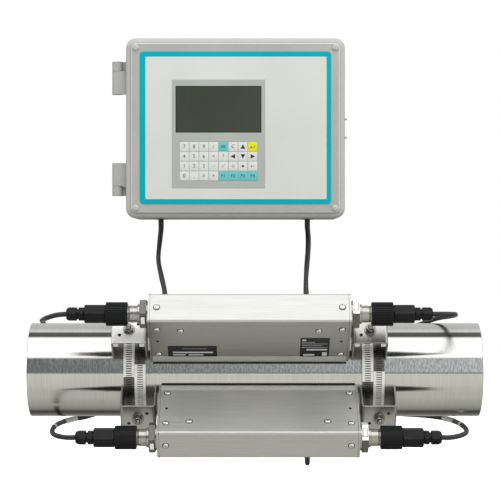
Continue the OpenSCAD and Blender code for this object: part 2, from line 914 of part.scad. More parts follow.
module enclosure_body() {
    knuckle_at = hinge_start + door_knuckle + knuckle_gap;
    board_x = board[0] / 2 - standoff_inset;
    board_z = board[1] / 2 - standoff_inset;
    back_y = seam_y + body_depth;
    color(grey_plastic)
        at_enclosure()
            difference() {
                union() {
                    difference() {
                        translate([0, seam_y, 0])
                            along_y(body_depth)
                                round_rect(enclosure_w, enclosure_h, corner_r);
                        translate([0, seam_y - overrun, 0])
                            along_y(body_depth - back_wall + overrun)
                                round_rect(
                                    enclosure_w - 2 * body_wall,
                                    enclosure_h - 2 * body_wall,
                                    corner_r - body_wall
                                );
                    }
                    for (place = corners(wall_hole_dx / 2, wall_hole_dz / 2))
                        translate([place[0], back_y - back_wall - boss_h, place[1]])
                            along_y(boss_h + back_wall / 2)
                                circle(boss_r);
                    for (place = corners(board_x, board_z))
                        translate([place[0], back_y - back_wall - standoff_h, place[1]])
                            along_y(standoff_h + back_wall / 2)
                                circle(standoff_r);
                    hinge_knuckle(knuckle_at, knuckle_at + body_knuckle, seam_y, seam_y + knuckle_r);
                }
                for (place = corners(wall_hole_dx / 2, wall_hole_dz / 2))
                    translate([place[0], back_y - back_wall - boss_h - overrun, place[1]])
                        along_y(boss_h + back_wall + 2 * overrun)
                            circle(wall_hole_r);
                for (entry_x = [left_entry_x, right_entry_x])
                    at_entry(entry_x)
                        translate([0, 0, -overrun])
                            linear_extrude(body_wall + 2 * overrun)
                                entry_outline(grommet_r + hole_gap);
            }
}

module entry_grommets() {
    color(black_rubber)
        at_enclosure()
            for (entry_x = [left_entry_x, right_entry_x])
                at_entry(entry_x) {
                    translate([0, 0, -grommet_flange_h])
                        linear_extrude(grommet_flange_h)
                            entry_outline(grommet_r + grommet_flange);
                    translate([0, 0, -grommet_flange_h])
                        linear_extrude(body_wall + 2 * grommet_flange_h)
                            entry_outline(grommet_r);
                    translate([0, 0, body_wall])
                        linear_extrude(grommet_flange_h)
                            entry_outline(grommet_r + grommet_flange);
                }
}

module board_part(size, x, z) {
    translate([x - size[0] / 2, -size[2], z - size[1] / 2])
        cube([size[0], size[2] + board[2] / 2, size[1]]);
}

module main_board() {
    board_y = seam_y + body_depth - back_wall - standoff_h - assembly_gap - board[2];
    terminal_step = board[0] / terminal_count;
    terminal_z = -board[1] / 2 + terminal_block[1];
    upper_z = board[1] / 4;
    color(board_green)
        at_enclosure()
            translate([0, board_y, 0]) {
                translate([-board[0] / 2, 0, -board[1] / 2])
                    cube([board[0], board[2], board[1]]);
                for (k = [0:terminal_count - 1])
                    board_part(terminal_block, (k + 1 / 2) * terminal_step - board[0] / 2, terminal_z);
                board_part(supply_block, -board[0] / 4, upper_z);
                board_part(chip_block, board[0] / 8, upper_z);
                board_part(relay_block, board[0] / 3, upper_z);
            }
}

module hinge_pins() {
    pin_start = hinge_start + pin_end;
    pin_top = hinge_start + door_knuckle + knuckle_gap + body_knuckle - pin_end;
    color(bright_steel)
        at_enclosure()
            for (level = SIDES)
                mirror([0, 0, level < 0 ? 1 : 0])
                    translate([hinge_x, seam_y, pin_start])
                        cylinder(h = pin_top - pin_start, r = hinge_pin_r);
}

module door_outline(inset) {
    round_rect(enclosure_w - 2 * inset, enclosure_h - 2 * inset, max(corner_r - inset, body_wall));
}

module at_panel() {
    translate([-panel_left, 0, -panel_below])
        children();
}

module door() {
    skirt_y = seam_y - door_gap;
    groove_inset = (body_wall - groove_w) / 2;
    post_x = panel_w / 2 + board_rim - module_post_r;
    post_z = panel_h / 2 + board_rim - module_post_r;
    color(grey_plastic)
        at_enclosure()
            difference() {
                union() {
                    difference() {
                        union() {
                            along_y(step_depth + overrun)
                                door_outline(door_step);
                            translate([0, step_depth, 0])
                                along_y(skirt_y - step_depth)
                                    door_outline(0);
                        }
                        translate([0, door_wall, 0])
                            along_y(step_depth)
                                door_outline(door_step + body_wall);
                        translate([0, door_wall + step_depth, 0])
                            along_y(door_depth)
                                door_outline(body_wall);
                        translate([0, skirt_y - groove_depth, 0])
                            along_y(groove_depth + overrun)
                                difference() {
                                    door_outline(groove_inset);
                                    door_outline(groove_inset + groove_w);
                                }
                    }
                    at_panel()
                        for (place = corners(post_x, post_z))
                            translate([place[0], door_wall / 2, place[1]])
                                along_y(door_wall / 2 + module_post - assembly_gap)
                                    circle(module_post_r);
                    for (place = corners(corner_screw_x, corner_screw_z))
                        translate([place[0], door_wall / 2, place[1]])
                            along_y(skirt_y - groove_depth - door_wall / 2)
                                circle(corner_shank_r + body_wall / 2);
                    hinge_knuckle(hinge_start, hinge_start + door_knuckle, seam_y - knuckle_r, skirt_y);
                    for (level = SIDES)
                        translate([0, door_depth / 2, level * side_stud_dz])
                            rod_x(
                                enclosure_w / 2 - body_wall / 2,
                                enclosure_w / 2 + side_stud_h,
                                side_stud_r
                            );
                }
                at_panel()
                    translate([0, -overrun, 0])
                        along_y(door_wall + 2 * overrun)
                            square([opening_w, opening_h], center = true);
                for (place = corners(corner_screw_x, corner_screw_z))
                    translate([place[0], -overrun, place[1]])
                        along_y(door_depth + overrun)
                            circle(corner_shank_r + hole_gap);
            }
}

module door_gasket() {
    inset = (body_wall - groove_w) / 2 + gasket_gap;
    width = groove_w - 2 * gasket_gap;
    color(black_rubber)
        at_enclosure()
            translate([0, seam_y - door_gap - groove_depth + gasket_gap, 0])
                along_y(groove_depth)
                    difference() {
                        door_outline(inset);
                        door_outline(inset + width);
                    }
}

module front_overlay() {
    color(pale_grey)
        at_enclosure()
            translate([0, -overlay_sheet, 0])
                along_y(overlay_sheet)
                    difference() {
                        round_rect(overlay_w, overlay_h, overlay_r);
                        translate([-panel_left, -panel_below])
                            square([panel_w + panel_gap, panel_h + panel_gap], center = true);
                    }
}

module keypad_panel() {
    color(panel_grey)
        at_enclosure()
            at_panel()
                difference() {
                    union() {
                        translate([0, -panel_flange, 0])
                            along_y(panel_flange)
                                square([panel_w, panel_h], center = true);
                        along_y(panel_depth)
                            square([panel_inner_w, panel_inner_h], center = true);
                    }
                    translate([0, -panel_flange - overrun, display_above])
                        along_y(panel_depth + panel_flange + 2 * overrun)
                            square([display_w + panel_gap, display_h + panel_gap], center = true);
                    translate([0, -panel_flange - overrun, -keys_below])
                        along_y(panel_depth + panel_flange + 2 * overrun)
                            square([keys_w, keys_h], center = true);
                }
}

// The display and the key switches on one board behind the keypad panel
module display_module() {
    switch_y = -panel_flange - key_proud + key_sheet + key_travel + key_rest_gap;
    display_y = -panel_flange + display_recess;
    color(display_green)
        at_enclosure()
            at_panel() {
                translate([0, module_y, 0])
                    along_y(module_board)
                        square([panel_w + 2 * board_rim, panel_h + 2 * board_rim], center = true);
                translate([0, display_y, display_above])
                    along_y(module_y - display_y + module_board / 2)
                        square([display_w, display_h], center = true);
                translate([0, switch_y, -keys_below])
                    along_y(module_y - switch_y + module_board / 2)
                        square([keys_w - key_gap, keys_h - key_gap], center = true);
            }
}

module door_screws() {
    shank_end = seam_y - door_gap - door_wall;
    color(grey_plastic)
        at_enclosure()
            for (place = corners(corner_screw_x, corner_screw_z))
                translate([place[0], 0, place[1]]) {
                    translate([0, -corner_head_h, 0])
                        along_y(corner_head_h)
                            circle(corner_screw_r);
                    translate([0, -corner_head_h / 2, 0])
                        along_y(shank_end + corner_head_h / 2)
                            circle(corner_shank_r);
                }
}

function key_colour(k) =
    k == 7 ? key_yellow : k == 4 || k >= len(KEY_NAMES) - 4 ? key_turquoise : key_white;

// One key of the keypad, counted from the top left along each row
module key(k) {
    column = k % key_columns;
    row = floor(k / key_columns);
    x = (column - (key_columns - 1) / 2) * key_pitch;
    z = ((key_rows - 1) / 2 - row) * key_pitch - keys_below;
    color(key_colour(k))
        at_enclosure()
            at_panel()
                translate([x, -panel_flange - key_proud, z])
                    along_y(key_sheet)
                        square([key_size, key_size], center = true);
}

pipe_section();
sensor_housings();
housing_end_caps();
transducer_blocks();
sensor_fasteners();
mounting_brackets();
band_straps();
strap_screws();
sensor_receptacles();
cable_plugs();
enclosure_body();
entry_grommets();
main_board();
hinge_pins();
door();
door_gasket();
front_overlay();
keypad_panel();
display_module();
door_screws();
for (k = [0:3])
    coupling_ring(floor(k / 2), ENDS[k % 2]);
for (k = [0:3])
    cable(ROUTES[k]);
for (k = [0:len(KEY_NAMES) - 1])
    key(k);
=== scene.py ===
import math

import bmesh
import bpy
from mathutils import Matrix, Vector


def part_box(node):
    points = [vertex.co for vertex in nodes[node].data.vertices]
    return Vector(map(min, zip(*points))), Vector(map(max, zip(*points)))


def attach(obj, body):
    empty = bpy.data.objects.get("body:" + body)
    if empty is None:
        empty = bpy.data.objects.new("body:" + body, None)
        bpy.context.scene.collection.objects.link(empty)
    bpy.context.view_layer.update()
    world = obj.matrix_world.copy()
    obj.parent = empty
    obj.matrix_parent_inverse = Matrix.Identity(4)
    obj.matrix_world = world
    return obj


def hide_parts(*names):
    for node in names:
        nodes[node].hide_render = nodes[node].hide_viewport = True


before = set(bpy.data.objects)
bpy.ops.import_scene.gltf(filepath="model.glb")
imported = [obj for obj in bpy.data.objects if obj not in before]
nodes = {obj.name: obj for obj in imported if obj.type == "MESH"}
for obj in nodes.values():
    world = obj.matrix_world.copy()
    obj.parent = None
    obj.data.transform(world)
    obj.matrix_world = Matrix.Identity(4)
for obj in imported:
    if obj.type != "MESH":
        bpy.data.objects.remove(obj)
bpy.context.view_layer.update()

mm = 0.001

# The camera stands level in front of the pipe, a little above it, with a long lens,
# as the photograph shows both housings and the enclosure's underside at one glance.


def linked(name, data):
    """A new object in the scene."""
    made = bpy.data.objects.new(name, data)
    bpy.context.collection.objects.link(made)
    return made


camera = linked("camera", bpy.data.cameras.new("camera"))
camera.data.lens, camera.data.sensor_width = 128, 36
camera.location = (0, -2.194, 0.1476)
camera.rotation_euler = (math.radians(90), 0, 0)
bpy.context.scene.camera = camera
bpy.context.scene.view_settings.view_transform = "Standard"


# The studio: a white floor below the meter and white behind it. What the bright metal
# mirrors is a ring of pale and dark cards round the X axis, with a soft lamp overhead.
class Maths:
    """A value in a node tree, worked with in plain Python sums; each sum adds its node."""

    def __init__(self, tree, socket=None):
        self.tree, self.socket = tree, socket

    def node(self, kind, settings=None, output=None, **sockets):
        """Adds a node: its settings first, then its sockets' values or links."""
        made = self.tree.nodes.new(kind)
        for name, value in (settings or {}).items():
            if name == "ramp":
                fill_ramp(made.color_ramp, value)
            else:
                setattr(made, name, value)
        for name, value in sockets.items():
            numbered = name.startswith("input")
            target = made.inputs[int(name[len("input"):]) if numbered else name.replace("_", " ")]
            if isinstance(value, Maths):
                self.tree.links.new(value.socket, target)
            else:
                target.default_value = value
        return Maths(self.tree, made.outputs[output or 0] if made.outputs else None)

    def sum(self, operation, *values):
        inputs = {f"input{i}": value for i, value in enumerate(values)}
        return self.node("ShaderNodeMath", {"operation": operation}, **inputs)

    def __add__(self, other):
        return self.sum("ADD", self, other)

    def __sub__(self, other):
        return self.sum("SUBTRACT", self, other)

    def __rsub__(self, other):
        return self.sum("SUBTRACT", other, self)

    def __mul__(self, other):
        return self.sum("MULTIPLY", self, other)

    def __truediv__(self, other):
        return self.sum("DIVIDE", self, other)

    def __abs__(self):
        return self.sum("ABSOLUTE", self)

    def __lt__(self, other):
        return self.sum("LESS_THAN", self, other)

    def __gt__(self, other):
        return self.sum("GREATER_THAN", self, other)

    __radd__, __rmul__ = __add__, __mul__

    def ramp(self, *stops):
        """A colour read from stops of (place, colour)."""
        return self.node("ShaderNodeValToRGB", {"ramp": stops}, Fac=self)

    def between(self, low, high, start=0.3):
        """A colour that runs between two, given as a screen shows them, in the middle of the range."""
        return self.ramp((start, shade(*low)), (1 - start, shade(*high)))

    def mix(self, low, high):
        """A colour between two others, chosen by this value."""
        return self.node("ShaderNodeMix", {"data_type": "RGBA"}, 2, input0=self, input6=low, input7=high)


def fill_ramp(ramp, stops):
    while len(ramp.elements) < len(stops):
        ramp.elements.new(0.5)
    for element, (place, color) in zip(ramp.elements, stops):
        element.position, element.color = place, color


def grey(value):
    return (value, value, value, 1)


def shade(red, green, blue):
    """A colour as a screen shows it, from 0 to 255, made linear for the shader."""
    parts = [value / 255 for value in (red, green, blue)]
    linear = [((part + 0.055) / 1.055) ** 2.4 if part > 0.04045 else part / 12.92 for part in parts]
    return (*linear, 1)


def finish(name, color, metallic=0.0, roughness=0.5, coat=0.0, shine=0.5):
    """A material, its shader, and a pen that adds nodes to it."""
    material = bpy.data.materials.new(name)
    material.use_nodes = True
    shader = material.node_tree.nodes["Principled BSDF"]
    for socket, value in (("Base Color", color), ("Metallic", metallic), ("Roughness", roughness),
                          ("Coat Weight", coat), ("Specular IOR Level", shine)):
        shader.inputs[socket].default_value = value
    return material, shader, Maths(material.node_tree)


floor_half, floor_z = 6, -0.32
floor_corners = [(x * floor_half, y * floor_half, floor_z) for x, y in ((-1, -1), (1, -1), (1, 1), (-1, 1))]
floor_mesh = bpy.data.meshes.new("studio_floor")
floor_mesh.from_pydata(floor_corners, [], [(0, 1, 2, 3)])
floor = linked("studio_floor", floor_mesh)
floor_paint, floor_shader, _ = finish("studio_floor", grey(0.9), roughness=0.9)
floor_shader.inputs["Emission Color"].default_value = grey(1)
floor_shader.inputs["Emission Strength"].default_value = 0.45
floor_mesh.materials.append(floor_paint)
floor.visible_glossy = floor.visible_diffuse = False

# Angles of the cards, from straight ahead: up is positive, and 180 is behind the pipe
card_edges = (
    (-180, 0.15), (-160, 0.19), (-150, 0.16), (-143, 0.118), (-134, 0.066), (-124, 0.05), (-119, 0.06),
    (-113, 0.16), (-104, 0.23), (-94, 0.265), (-84, 0.30), (-76, 0.335), (-67, 0.365), (-50, 0.38),
    (-34, 0.44), (-7, 0.47), (-3, 0.09), (31, 0.10), (34.5, 0.98), (89, 0.98), (93, 0.08), (107, 0.06),
    (113, 0.6), (126, 0.4), (160, 0.36), (180, 0.26))
card_strength, warm_below, warm_blue = 2.08, -4, 0.91
# The dark card in front of the pipe fades to a lighter one towards the right
fade_start, fade_end, fade_light = 0.05, 0.115, 0.72
fade_low, fade_high = -3, 31
world = bpy.data.worlds.new("studio")
bpy.context.scene.world = world
world.use_nodes = True
world.node_tree.nodes.clear()
sky = Maths(world.node_tree)
direction = sky.node("ShaderNodeTexCoord", output="Generated")
sideways, backward, upward = (
    sky.node("ShaderNodeSeparateXYZ", output=axis, Vector=direction) for axis in "XYZ")
full_turn = sky.sum("ARCTAN2", upward, 0 - backward) / math.tau + 0.5
cards = full_turn.ramp(*[
    (0.5 + angle / 360, (light, light, light * (warm_blue if angle < warm_below else 1), 1))
    for angle, light in card_edges])
ahead = (full_turn > 0.5 + fade_low / 360) * (full_turn < 0.5 + fade_high / 360)
fade = sky.node("ShaderNodeMapRange", Value=sideways, From_Min=fade_start, From_Max=fade_end)
cards = (ahead * fade).mix(cards, grey(fade_light))
mirrored = sky.node("ShaderNodeBackground", Color=cards, Strength=card_strength)
white = sky.node("ShaderNodeBackground", Color=grey(1), Strength=1)
seen = sky.node("ShaderNodeLightPath", output="Is Camera Ray")
either = sky.node("ShaderNodeMixShader", input0=seen, input1=mirrored, input2=white)
sky.node("ShaderNodeOutputWorld", Surface=either)

for name, place, target, size, power in (("top_light", (0.2, -1.1, 2.2), (0, 0, 0.1), 1.2, 9),
                                         ("front_light", (-0.9, -2.4, 0.7), (0, 0, 0.2), 0.9, 4)):
    data = bpy.data.lights.new(name, "AREA")
    data.size, data.energy = size, power
    lamp = linked(name, data)
    lamp.location = place
    lamp.rotation_euler = (Vector(target) - Vector(place)).to_track_quat("-Z", "Y").to_euler()
    lamp.visible_glossy = False

# The pipe is a length of drawn stainless tube. Its skin is bright, with fine marks that
# run round it, and its two sawn ends have a small chamfer inside and out.


def sized(*values):
    """Several sizes given in mm."""
    return [value * mm for value in values]


pipe_r, pipe_wall, pipe_chamfer = sized(57.15, 3.05, 0.6)
pipe_left, pipe_right = sized(-269, 281)
dark_band_middle, dark_band_half = sized(7.7, 9)
sharp = math.radians(32)
even = (1, 1, 1)


def feed(shader, **values):
    """Links values to the shader's sockets by name."""
    for name, value in values.items():
        value.tree.links.new(value.socket, shader.inputs[name.replace("_", " ")])


def grain(pen, stretch, scale, detail=2.0):
    """Noise on the piece's own coordinates, drawn out along the axes with a small stretch."""
    place = pen.node("ShaderNodeTexCoord", output="Object")
    drawn = pen.node("ShaderNodeMapping", Vector=place, Scale=stretch)
    return pen.node("ShaderNodeTexNoise", Vector=drawn, Scale=scale, Detail=detail)


def bump(pen, height, depth, strength=1.0):
    return pen.node("ShaderNodeBump", Height=height, Distance=depth * mm, Strength=strength)


def coordinate(pen, axis):
    """The piece's own coordinate along an axis."""
    place = pen.node("ShaderNodeTexCoord", output="Object")
    return pen.node("ShaderNodeSeparateXYZ", output=axis, Vector=place)


def grained(name, low, high, scale, detail=2, rough=None, dent=None, stretch=even, broad=None, **looks):
    """A finish that runs from one colour to another with its grain. rough is the least
    roughness and what the grain adds, dent a bump's depth in mm and its strength, and
    broad the share of a second, coarser grain with its stretch, scale and detail."""
    material, shader, pen = finish(name, shade(*low), **looks)
    noise = grain(pen, stretch, scale, detail)
    if broad:
        noise = noise * (1 - broad[0]) + grain(pen, *broad[1:]) * broad[0]
    feed(shader, Base_Color=noise.between(low, high))
    if rough:
        feed(shader, Roughness=rough[0] + noise * rough[1])
    if dent:
        feed(shader, Normal=bump(pen, noise, *dent))
    return material


def joined(bm, loops, closed=False):
    """Joins loops of points into a skin: the last to the first, or with both ends capped."""
    loops = [[bm.verts.new(point) for point in loop] for loop in loops]
    for near, far in zip(loops, loops[1:] + (loops[:1] if closed else [])):
        for k in range(len(near)):
            after = (k + 1) % len(near)
            bm.faces.new((near[k], near[after], far[after], far[k]))
    if not closed:
        bm.faces.new(loops[0])
        bm.faces.new(loops[-1])


def turned(bm, rings, place=Matrix(), sides=48, hollow=False):
    """Adds a body turned about X. A ring is (x, radius) or (x, radius, limit), and a limit
    gives the greatest reach at an angle. A hollow body's last ring joins its first."""
    angles = [math.tau * k / sides for k in range(sides)]
    joined(bm, [
        [place @ Vector((x, reach * math.sin(angle), reach * math.cos(angle)))
         for angle in angles for reach in [min([radius] + [cut(angle) for cut in limit])]]
        for x, radius, *limit in rings], hollow)


def shaded(bm, name):
    """Turns worked geometry into a mesh with smooth faces that meet in sharp edges."""
    bmesh.ops.recalc_face_normals(bm, faces=bm.faces)
    for face in bm.faces:
        face.smooth = True
    for edge in bm.edges:
        edge.smooth = len(edge.link_faces) == 2 and edge.calc_face_angle(0) < sharp
    mesh = bpy.data.meshes.new(name)
    bm.to_mesh(mesh)
    bm.free()
    return mesh


def piece(name, shape, materials, body, slot, *stands_for):
    """Sets a mesh, or worked geometry, on its body, with its finishes and the CAD nodes
    that it stands for."""
    mesh = shaded(shape, name) if isinstance(shape, bmesh.types.BMesh) else shape
    made = linked(name, mesh)
    for material in materials:
        mesh.materials.append(material)
    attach(made, body)
    if stands_for:
        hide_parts(*stands_for)
    return made


pipe_steel, shader, pen = finish("pipe_steel", shade(190, 190, 186), metallic=1, roughness=0.13)
worn = grain(pen, (1, 0.03, 0.03), 900, 3) * 0.6 + grain(pen, (1, 0.4, 0.4), 30, 2) * 0.4
# Along its front, where it mirrors the dark card, the skin is painted darker in small blue-grey spots: a
# painted dark reflection, with a mottled grain
spots = grain(pen, (1, 0.35, 0.35), 600, 3)
painted_dark_band = (abs(coordinate(pen, "Z") - dark_band_middle) < dark_band_half) * (coordinate(pen, "Y") < 0)
feed(shader,
     Base_Color=painted_dark_band.mix(worn.between((186, 187, 186), (201, 200, 195)),
                           spots.between((150, 153, 154), (194, 196, 195), 0.32)),
     Roughness=0.13 + worn * 0.08,
     Normal=bump(pen, worn, 0.05, 0.1))
# The marks run round the pipe, so they blur what it mirrors along it, and keep its bands sharp
shader.inputs["Anisotropic"].default_value = 1

bm = bmesh.new()
rings = []
for radius, toward, ends in ((pipe_r, -1, ((pipe_left, 1), (pipe_right, -1))),
                             (pipe_r - pipe_wall, 1, ((pipe_right, -1), (pipe_left, 1)))):
    (first, inwards), (last, back) = ends
    rings += [(first, radius + toward * pipe_chamfer), (first + inwards * pipe_chamfer, radius),
              (last + back * pipe_chamfer, radius), (last, radius + toward * pipe_chamfer)]
turned(bm, rings, sides=192, hollow=True)
pipe = piece("pipe", bm, [pipe_steel], "meter", "pipe", "pipe_section")
# A texture space this long lays the marks' direction exactly along the pipe
pipe.data.use_auto_texspace = False
pipe.data.texspace_location, pipe.data.texspace_size = (0, 0, 0), (10, pipe_r, pipe_r)

# The two sensor housings are folded from brushed sheet, with their grain along the pipe,
# and a pressed cap is screwed into each end. Inside, the transducer blocks are moulded.
sensor_tilt = math.radians(34)
sensor_x = sized(-0.5, 10)
housing_end, housing_half_w, housing_r = sized(119, 19.5, 144.5)


def sensor_place(i, end):
    """The frame at one end of sensor 0 or 1: X points outward and Z away from the pipe."""
    outward = Vector((end, 0, 0))
    away = Vector((0, -math.cos(sensor_tilt), math.sin(sensor_tilt) * (1 - 2 * i)))
    place = Matrix((outward, away.cross(outward), away)).transposed().to_4x4()
    place.translation = Vector((sensor_x[i], 0, 0))
    return place


both = (-1, 1)
end_places = {(i, end): sensor_place(i, end) for i in (0, 1) for end in both}


def softened(name, width, materials, body, slot, weigh=None, segments=2):
    """A CAD node with its edges broken. weigh gives an edge's share of the width from the
    edge's middle."""
    bm = bmesh.new()
    bm.from_mesh(nodes[name].data)
    bmesh.ops.remove_doubles(bm, verts=bm.verts, dist=0.002 * mm)
    bmesh.ops.dissolve_limit(bm, angle_limit=math.radians(0.5), verts=bm.verts, edges=bm.edges)
    weights = bm.edges.layers.float.new("bevel_weight_edge")
    for edge in bm.edges:
        if len(edge.link_faces) == 2 and edge.calc_face_angle(0) > sharp:
            low, high = (vert.co for vert in edge.verts)
            edge[weights] = weigh((low + high) / 2) if weigh else 1
    made = piece(name + "_finish", bm, materials, body, slot, name)
    bevel = made.modifiers.new("broken_edges", "BEVEL")
    bevel.limit_method, bevel.width, bevel.segments = "WEIGHT", width, segments
    bevel.use_clamp_overlap, bevel.harden_normals = False, True
    made.modifiers.new("flat_faces", "WEIGHTED_NORMAL").keep_sharp = True
    return made


# The upper housing's front side looks down and is painted in a darker copy of the sheet, a painted shade
brushed_steel, shadow_steel = (
    grained(name, low, high, 1400, 2, (0.26, 0.2), (0.05, 0.35), (0.02, 1, 1), (0.3, (0.06, 1, 1), 160, 3),
            metallic=metallic)
    for name, low, high, metallic in (("brushed_steel", (180, 180, 176), (198, 198, 195), 0.66),
                                      ("shadow_steel", (160, 160, 153), (177, 177, 171), 0.72)))
transducer_resin = grained("transducer_resin", (50, 50, 53), (72, 72, 74), 300, 3, dent=(0.05, 0.4))
housings = softened("sensor_housings", 0.25 * mm, [brushed_steel, shadow_steel], "meter", "sensor_sheet")
# Faces of the upper housing that look down and forward take the painted shade
for face in housings.data.polygons:
    face.material_index = 1 if face.center.z > 0 and face.normal.z < -0.5 and face.normal.y < -0.3 else 0
softened("housing_end_caps", 0.3 * mm, [brushed_steel], "meter", "sensor_sheet")
softened("transducer_blocks", 0.6 * mm, [transducer_resin], "meter", "transducer")

# A bead of black rubber runs along both feet of each housing, a painted shadow where the
# sheet meets the pipe. It is pushed over the sheet's edge.
bead_out, bead_low, bead_high = sized(1.2, 1.5), sized(52.7, 53.4), sized(53.7, 56.4)
bead_end = housing_end - 3 * mm
rubber = grained("rubber", (22, 22, 22), (42, 42, 41), 240, 3, (0.5, 0.2), (0.05, 0.4), shine=0.3)


def blocks(boxes, edge=0, **bevel):
    """Worked geometry of blocks, each (corner, opposite corner, place), with broken edges."""
    bm = bmesh.new()
    for corner, opposite, *own in boxes:
        place = own[0] if own else Matrix()
        (left, right), (front, back), (low, high) = (sorted(pair) for pair in zip(corner, opposite))
        joined(bm, [
            [place @ Vector((x, y, z)) for y, z in ((front, low), (back, low), (back, high), (front, high))]
            for x in (left, right)])
    if edge:
        bmesh.ops.bevel(bm, geom=bm.edges[:], offset=edge, affect="EDGES", **{"segments": 2, **bevel})
    return bm


shadow_beads = [((-bead_end, side * housing_half_w, bead_low[i]),
          (bead_end, side * (housing_half_w + bead_out[i]), bead_high[i]), end_places[i, 1])
         for i in (0, 1) for side in both]
piece("foot_beads", blocks(shadow_beads, 0.3 * mm), [rubber], "meter", "rubber")

# Above the bead the sheet is doubled by a strip that is spot-welded along each foot. The
# upper housing's strips stand off a little at the foot, so that they catch more light.
strip_high, strip_thin, strip_thick = 65.2 * mm, 0.3 * mm, (0.85 * mm, 0.3 * mm)
# The strips' sheet is painted paler and less metallic than the housing's, a painted highlight along each
# foot
strip_painted_light = grained("strip_painted_light", (206, 206, 199), (222, 222, 217), 1400, 2, (0.3, 0.14), (0.05, 0.35),
                      (0.02, 1, 1), metallic=0.45)
bm = bmesh.new()
for i in (0, 1):
    outline = [(0, bead_high[i]), (strip_thick[i], bead_high[i]), (strip_thin, strip_high), (0, strip_high)]
    for side in both:
        joined(bm, [
            [end_places[i, 1] @ Vector((x, side * (housing_half_w + out), away)) for out, away in outline]
            for x in (-bead_end, bead_end)])
piece("foot_strips", bm, [strip_painted_light], "meter", "sensor_sheet")

# The joint between a housing's sheet and each end cap is a fine dark line that runs over
# the lid and down both sides. The line is filled with the same black rubber.
seam_x, seam_half, seam_out, seam_deep = housing_end - 2.6 * mm, 0.16 * mm, 0.05 * mm, 1 * mm
reach, lid_seam = housing_half_w + seam_out, housing_r - seam_deep
near, far = seam_x - seam_half, seam_x + seam_half
seams = []
for place in end_places.values():
    seams.append(((near, -reach, lid_seam), (far, reach, housing_r + seam_out), place))
    seams += [((near, side * (reach - seam_deep), strip_high), (far, side * reach, lid_seam), place)
              for side in both]
piece("cap_seams", blocks(seams), [rubber], "meter", "rubber")

# A dark rubber strip along the upper housing's foot is a painted shadow where the foot meets the pipe. It is
# a cut strip that lies on the pipe and stands out a little beyond the foot's bead, along the whole housing.
seal_in, seal_out, seal_low, seal_high = sized(0.6, 3, 51.6, 53.35)
shadow_strips = [((-bead_end, side * (housing_half_w - seal_in), seal_low),
          (bead_end, side * (housing_half_w + seal_out), seal_high), end_places[0, 1]) for side in both]
piece("foot_seals", blocks(shadow_strips), [rubber], "meter", "rubber")

# A small vent hole in each wall of the end caps is closed by a flat rubber plug, a painted shade for the
# dark hole. The plugs are black, as wide as a screw's shank, and pushed in from outside.
end_inset, vent_height = sized(10.5, 42.5)


def shadow_plugs(name, places, stem_r, head_r, low, seat, top, rim_share):
    """Round rubber plugs, each on its place's X: a stem from low to seat, and a head from
    there to top, with the head's rim drawn in to its share of the radius."""
    bm = bmesh.new()
    for place in places:
        turned(bm, [(low, stem_r), (seat, stem_r), (seat, head_r), (top, head_r * rim_share)], place, 20)
    piece(name, bm, [rubber], "meter", "rubber")


shadow_plugs("vent_plugs", [
    place @ Matrix.Translation((housing_end - end_inset, side * housing_half_w, pipe_r + vent_height))
    @ Matrix.Rotation(side * math.pi / 2, 4, "Z")
    for place in end_places.values() for side in both],
    *sized(1, 1.8, -2, 0.02, 0.25), rim_share=0.85)

# A dark plate is glued on the upper housing near each end. Both plates are blank here,
# with plain white and grey fields where such plates carry their data.
label_ink = grained("label_ink", (22, 24, 28), (34, 36, 40), 900, 2, (0.28, 0.15), shine=0.25)
label_white = grained("label_white", (196, 198, 200), (214, 215, 216), 900)
label_sheet, field_sheet = sized(0.25, 0.06)
# Each plate is (left, right, nearest to the pipe, farthest), measured on the housing's side,
# and each of its fields (left, right, bottom, top) as shares of the plate
plates = {
    "left": (sized(-97.3, -38.9, 63.6, 89.2), (
        (0.1, 0.92, 0.38, 0.5), (0.1, 0.36, 0.17, 0.27), (0.42, 0.72, 0.17, 0.27), (0.3, 0.8, 0.76, 0.78))),
    "right": (sized(60, 94.8, 62.4, 107.5), (
        (0.22, 0.93, 0.38, 0.45), (0.12, 0.5, 0.11, 0.19), (0.76, 0.93, 0.1, 0.28), (0.06, 0.2, 0.86, 0.93),
        (0.06, 0.93, 0.7, 0.715), (0.06, 0.75, 0.61, 0.625), (0.06, 0.93, 0.52, 0.535),
        (0.06, 0.5, 0.78, 0.795)))}
face_y = -housing_half_w - label_sheet
for name, ((left, right, bottom, top), fields) in plates.items():
    plate = ((left, face_y, bottom), (right, -housing_half_w, top), end_places[0, 1])
    piece(f"label_plate_{name}", blocks([plate], 0.08 * mm, segments=1), [label_ink], "meter", "overlay")
    marks = [((left + near * (right - left), face_y - field_sheet, bottom + low * (top - bottom)),
              (left + far * (right - left), face_y, bottom + high * (top - bottom)), end_places[0, 1])
             for near, far, low, high in fields]
    piece(f"label_fields_{name}", blocks(marks), [label_white], "meter", "overlay")

# Four folded brackets stand on the pipe beyond the housings, with a curved saddle for
# the band straps. Their bright sheet is painted darker inside, a painted shade, and black plastic plugs
# sit in the small holes in their webs as painted shade for the dark holes.
bracket_steel = grained("bracket_steel", (172, 171, 167), (188, 187, 184), 500, 3, (0.26, 0.14), (0.05, 0.3),
                        (1, 0.1, 1), (0.4, even, 60, 2), metallic=0.95)
bracket_painted_shade = grained("bracket_painted_shade", (108, 107, 101), (136, 135, 129), 90, 3, (0.34, 0.2), (0.05, 0.4),
                         metallic=0.8)
bracket_painted_light = grained("bracket_painted_light", (246, 246, 245), (254, 254, 254), 500, 3, (0.5, 0.12), (0.05, 0.3),
                       (1, 0.1, 1), metallic=0.3)
bracket_x, bracket_heart = housing_end + 24.5 * mm, 77 * mm
brackets = softened("mounting_brackets", 0.4 * mm, [bracket_steel, bracket_painted_shade, bracket_painted_light], "meter",
                    "bracket")
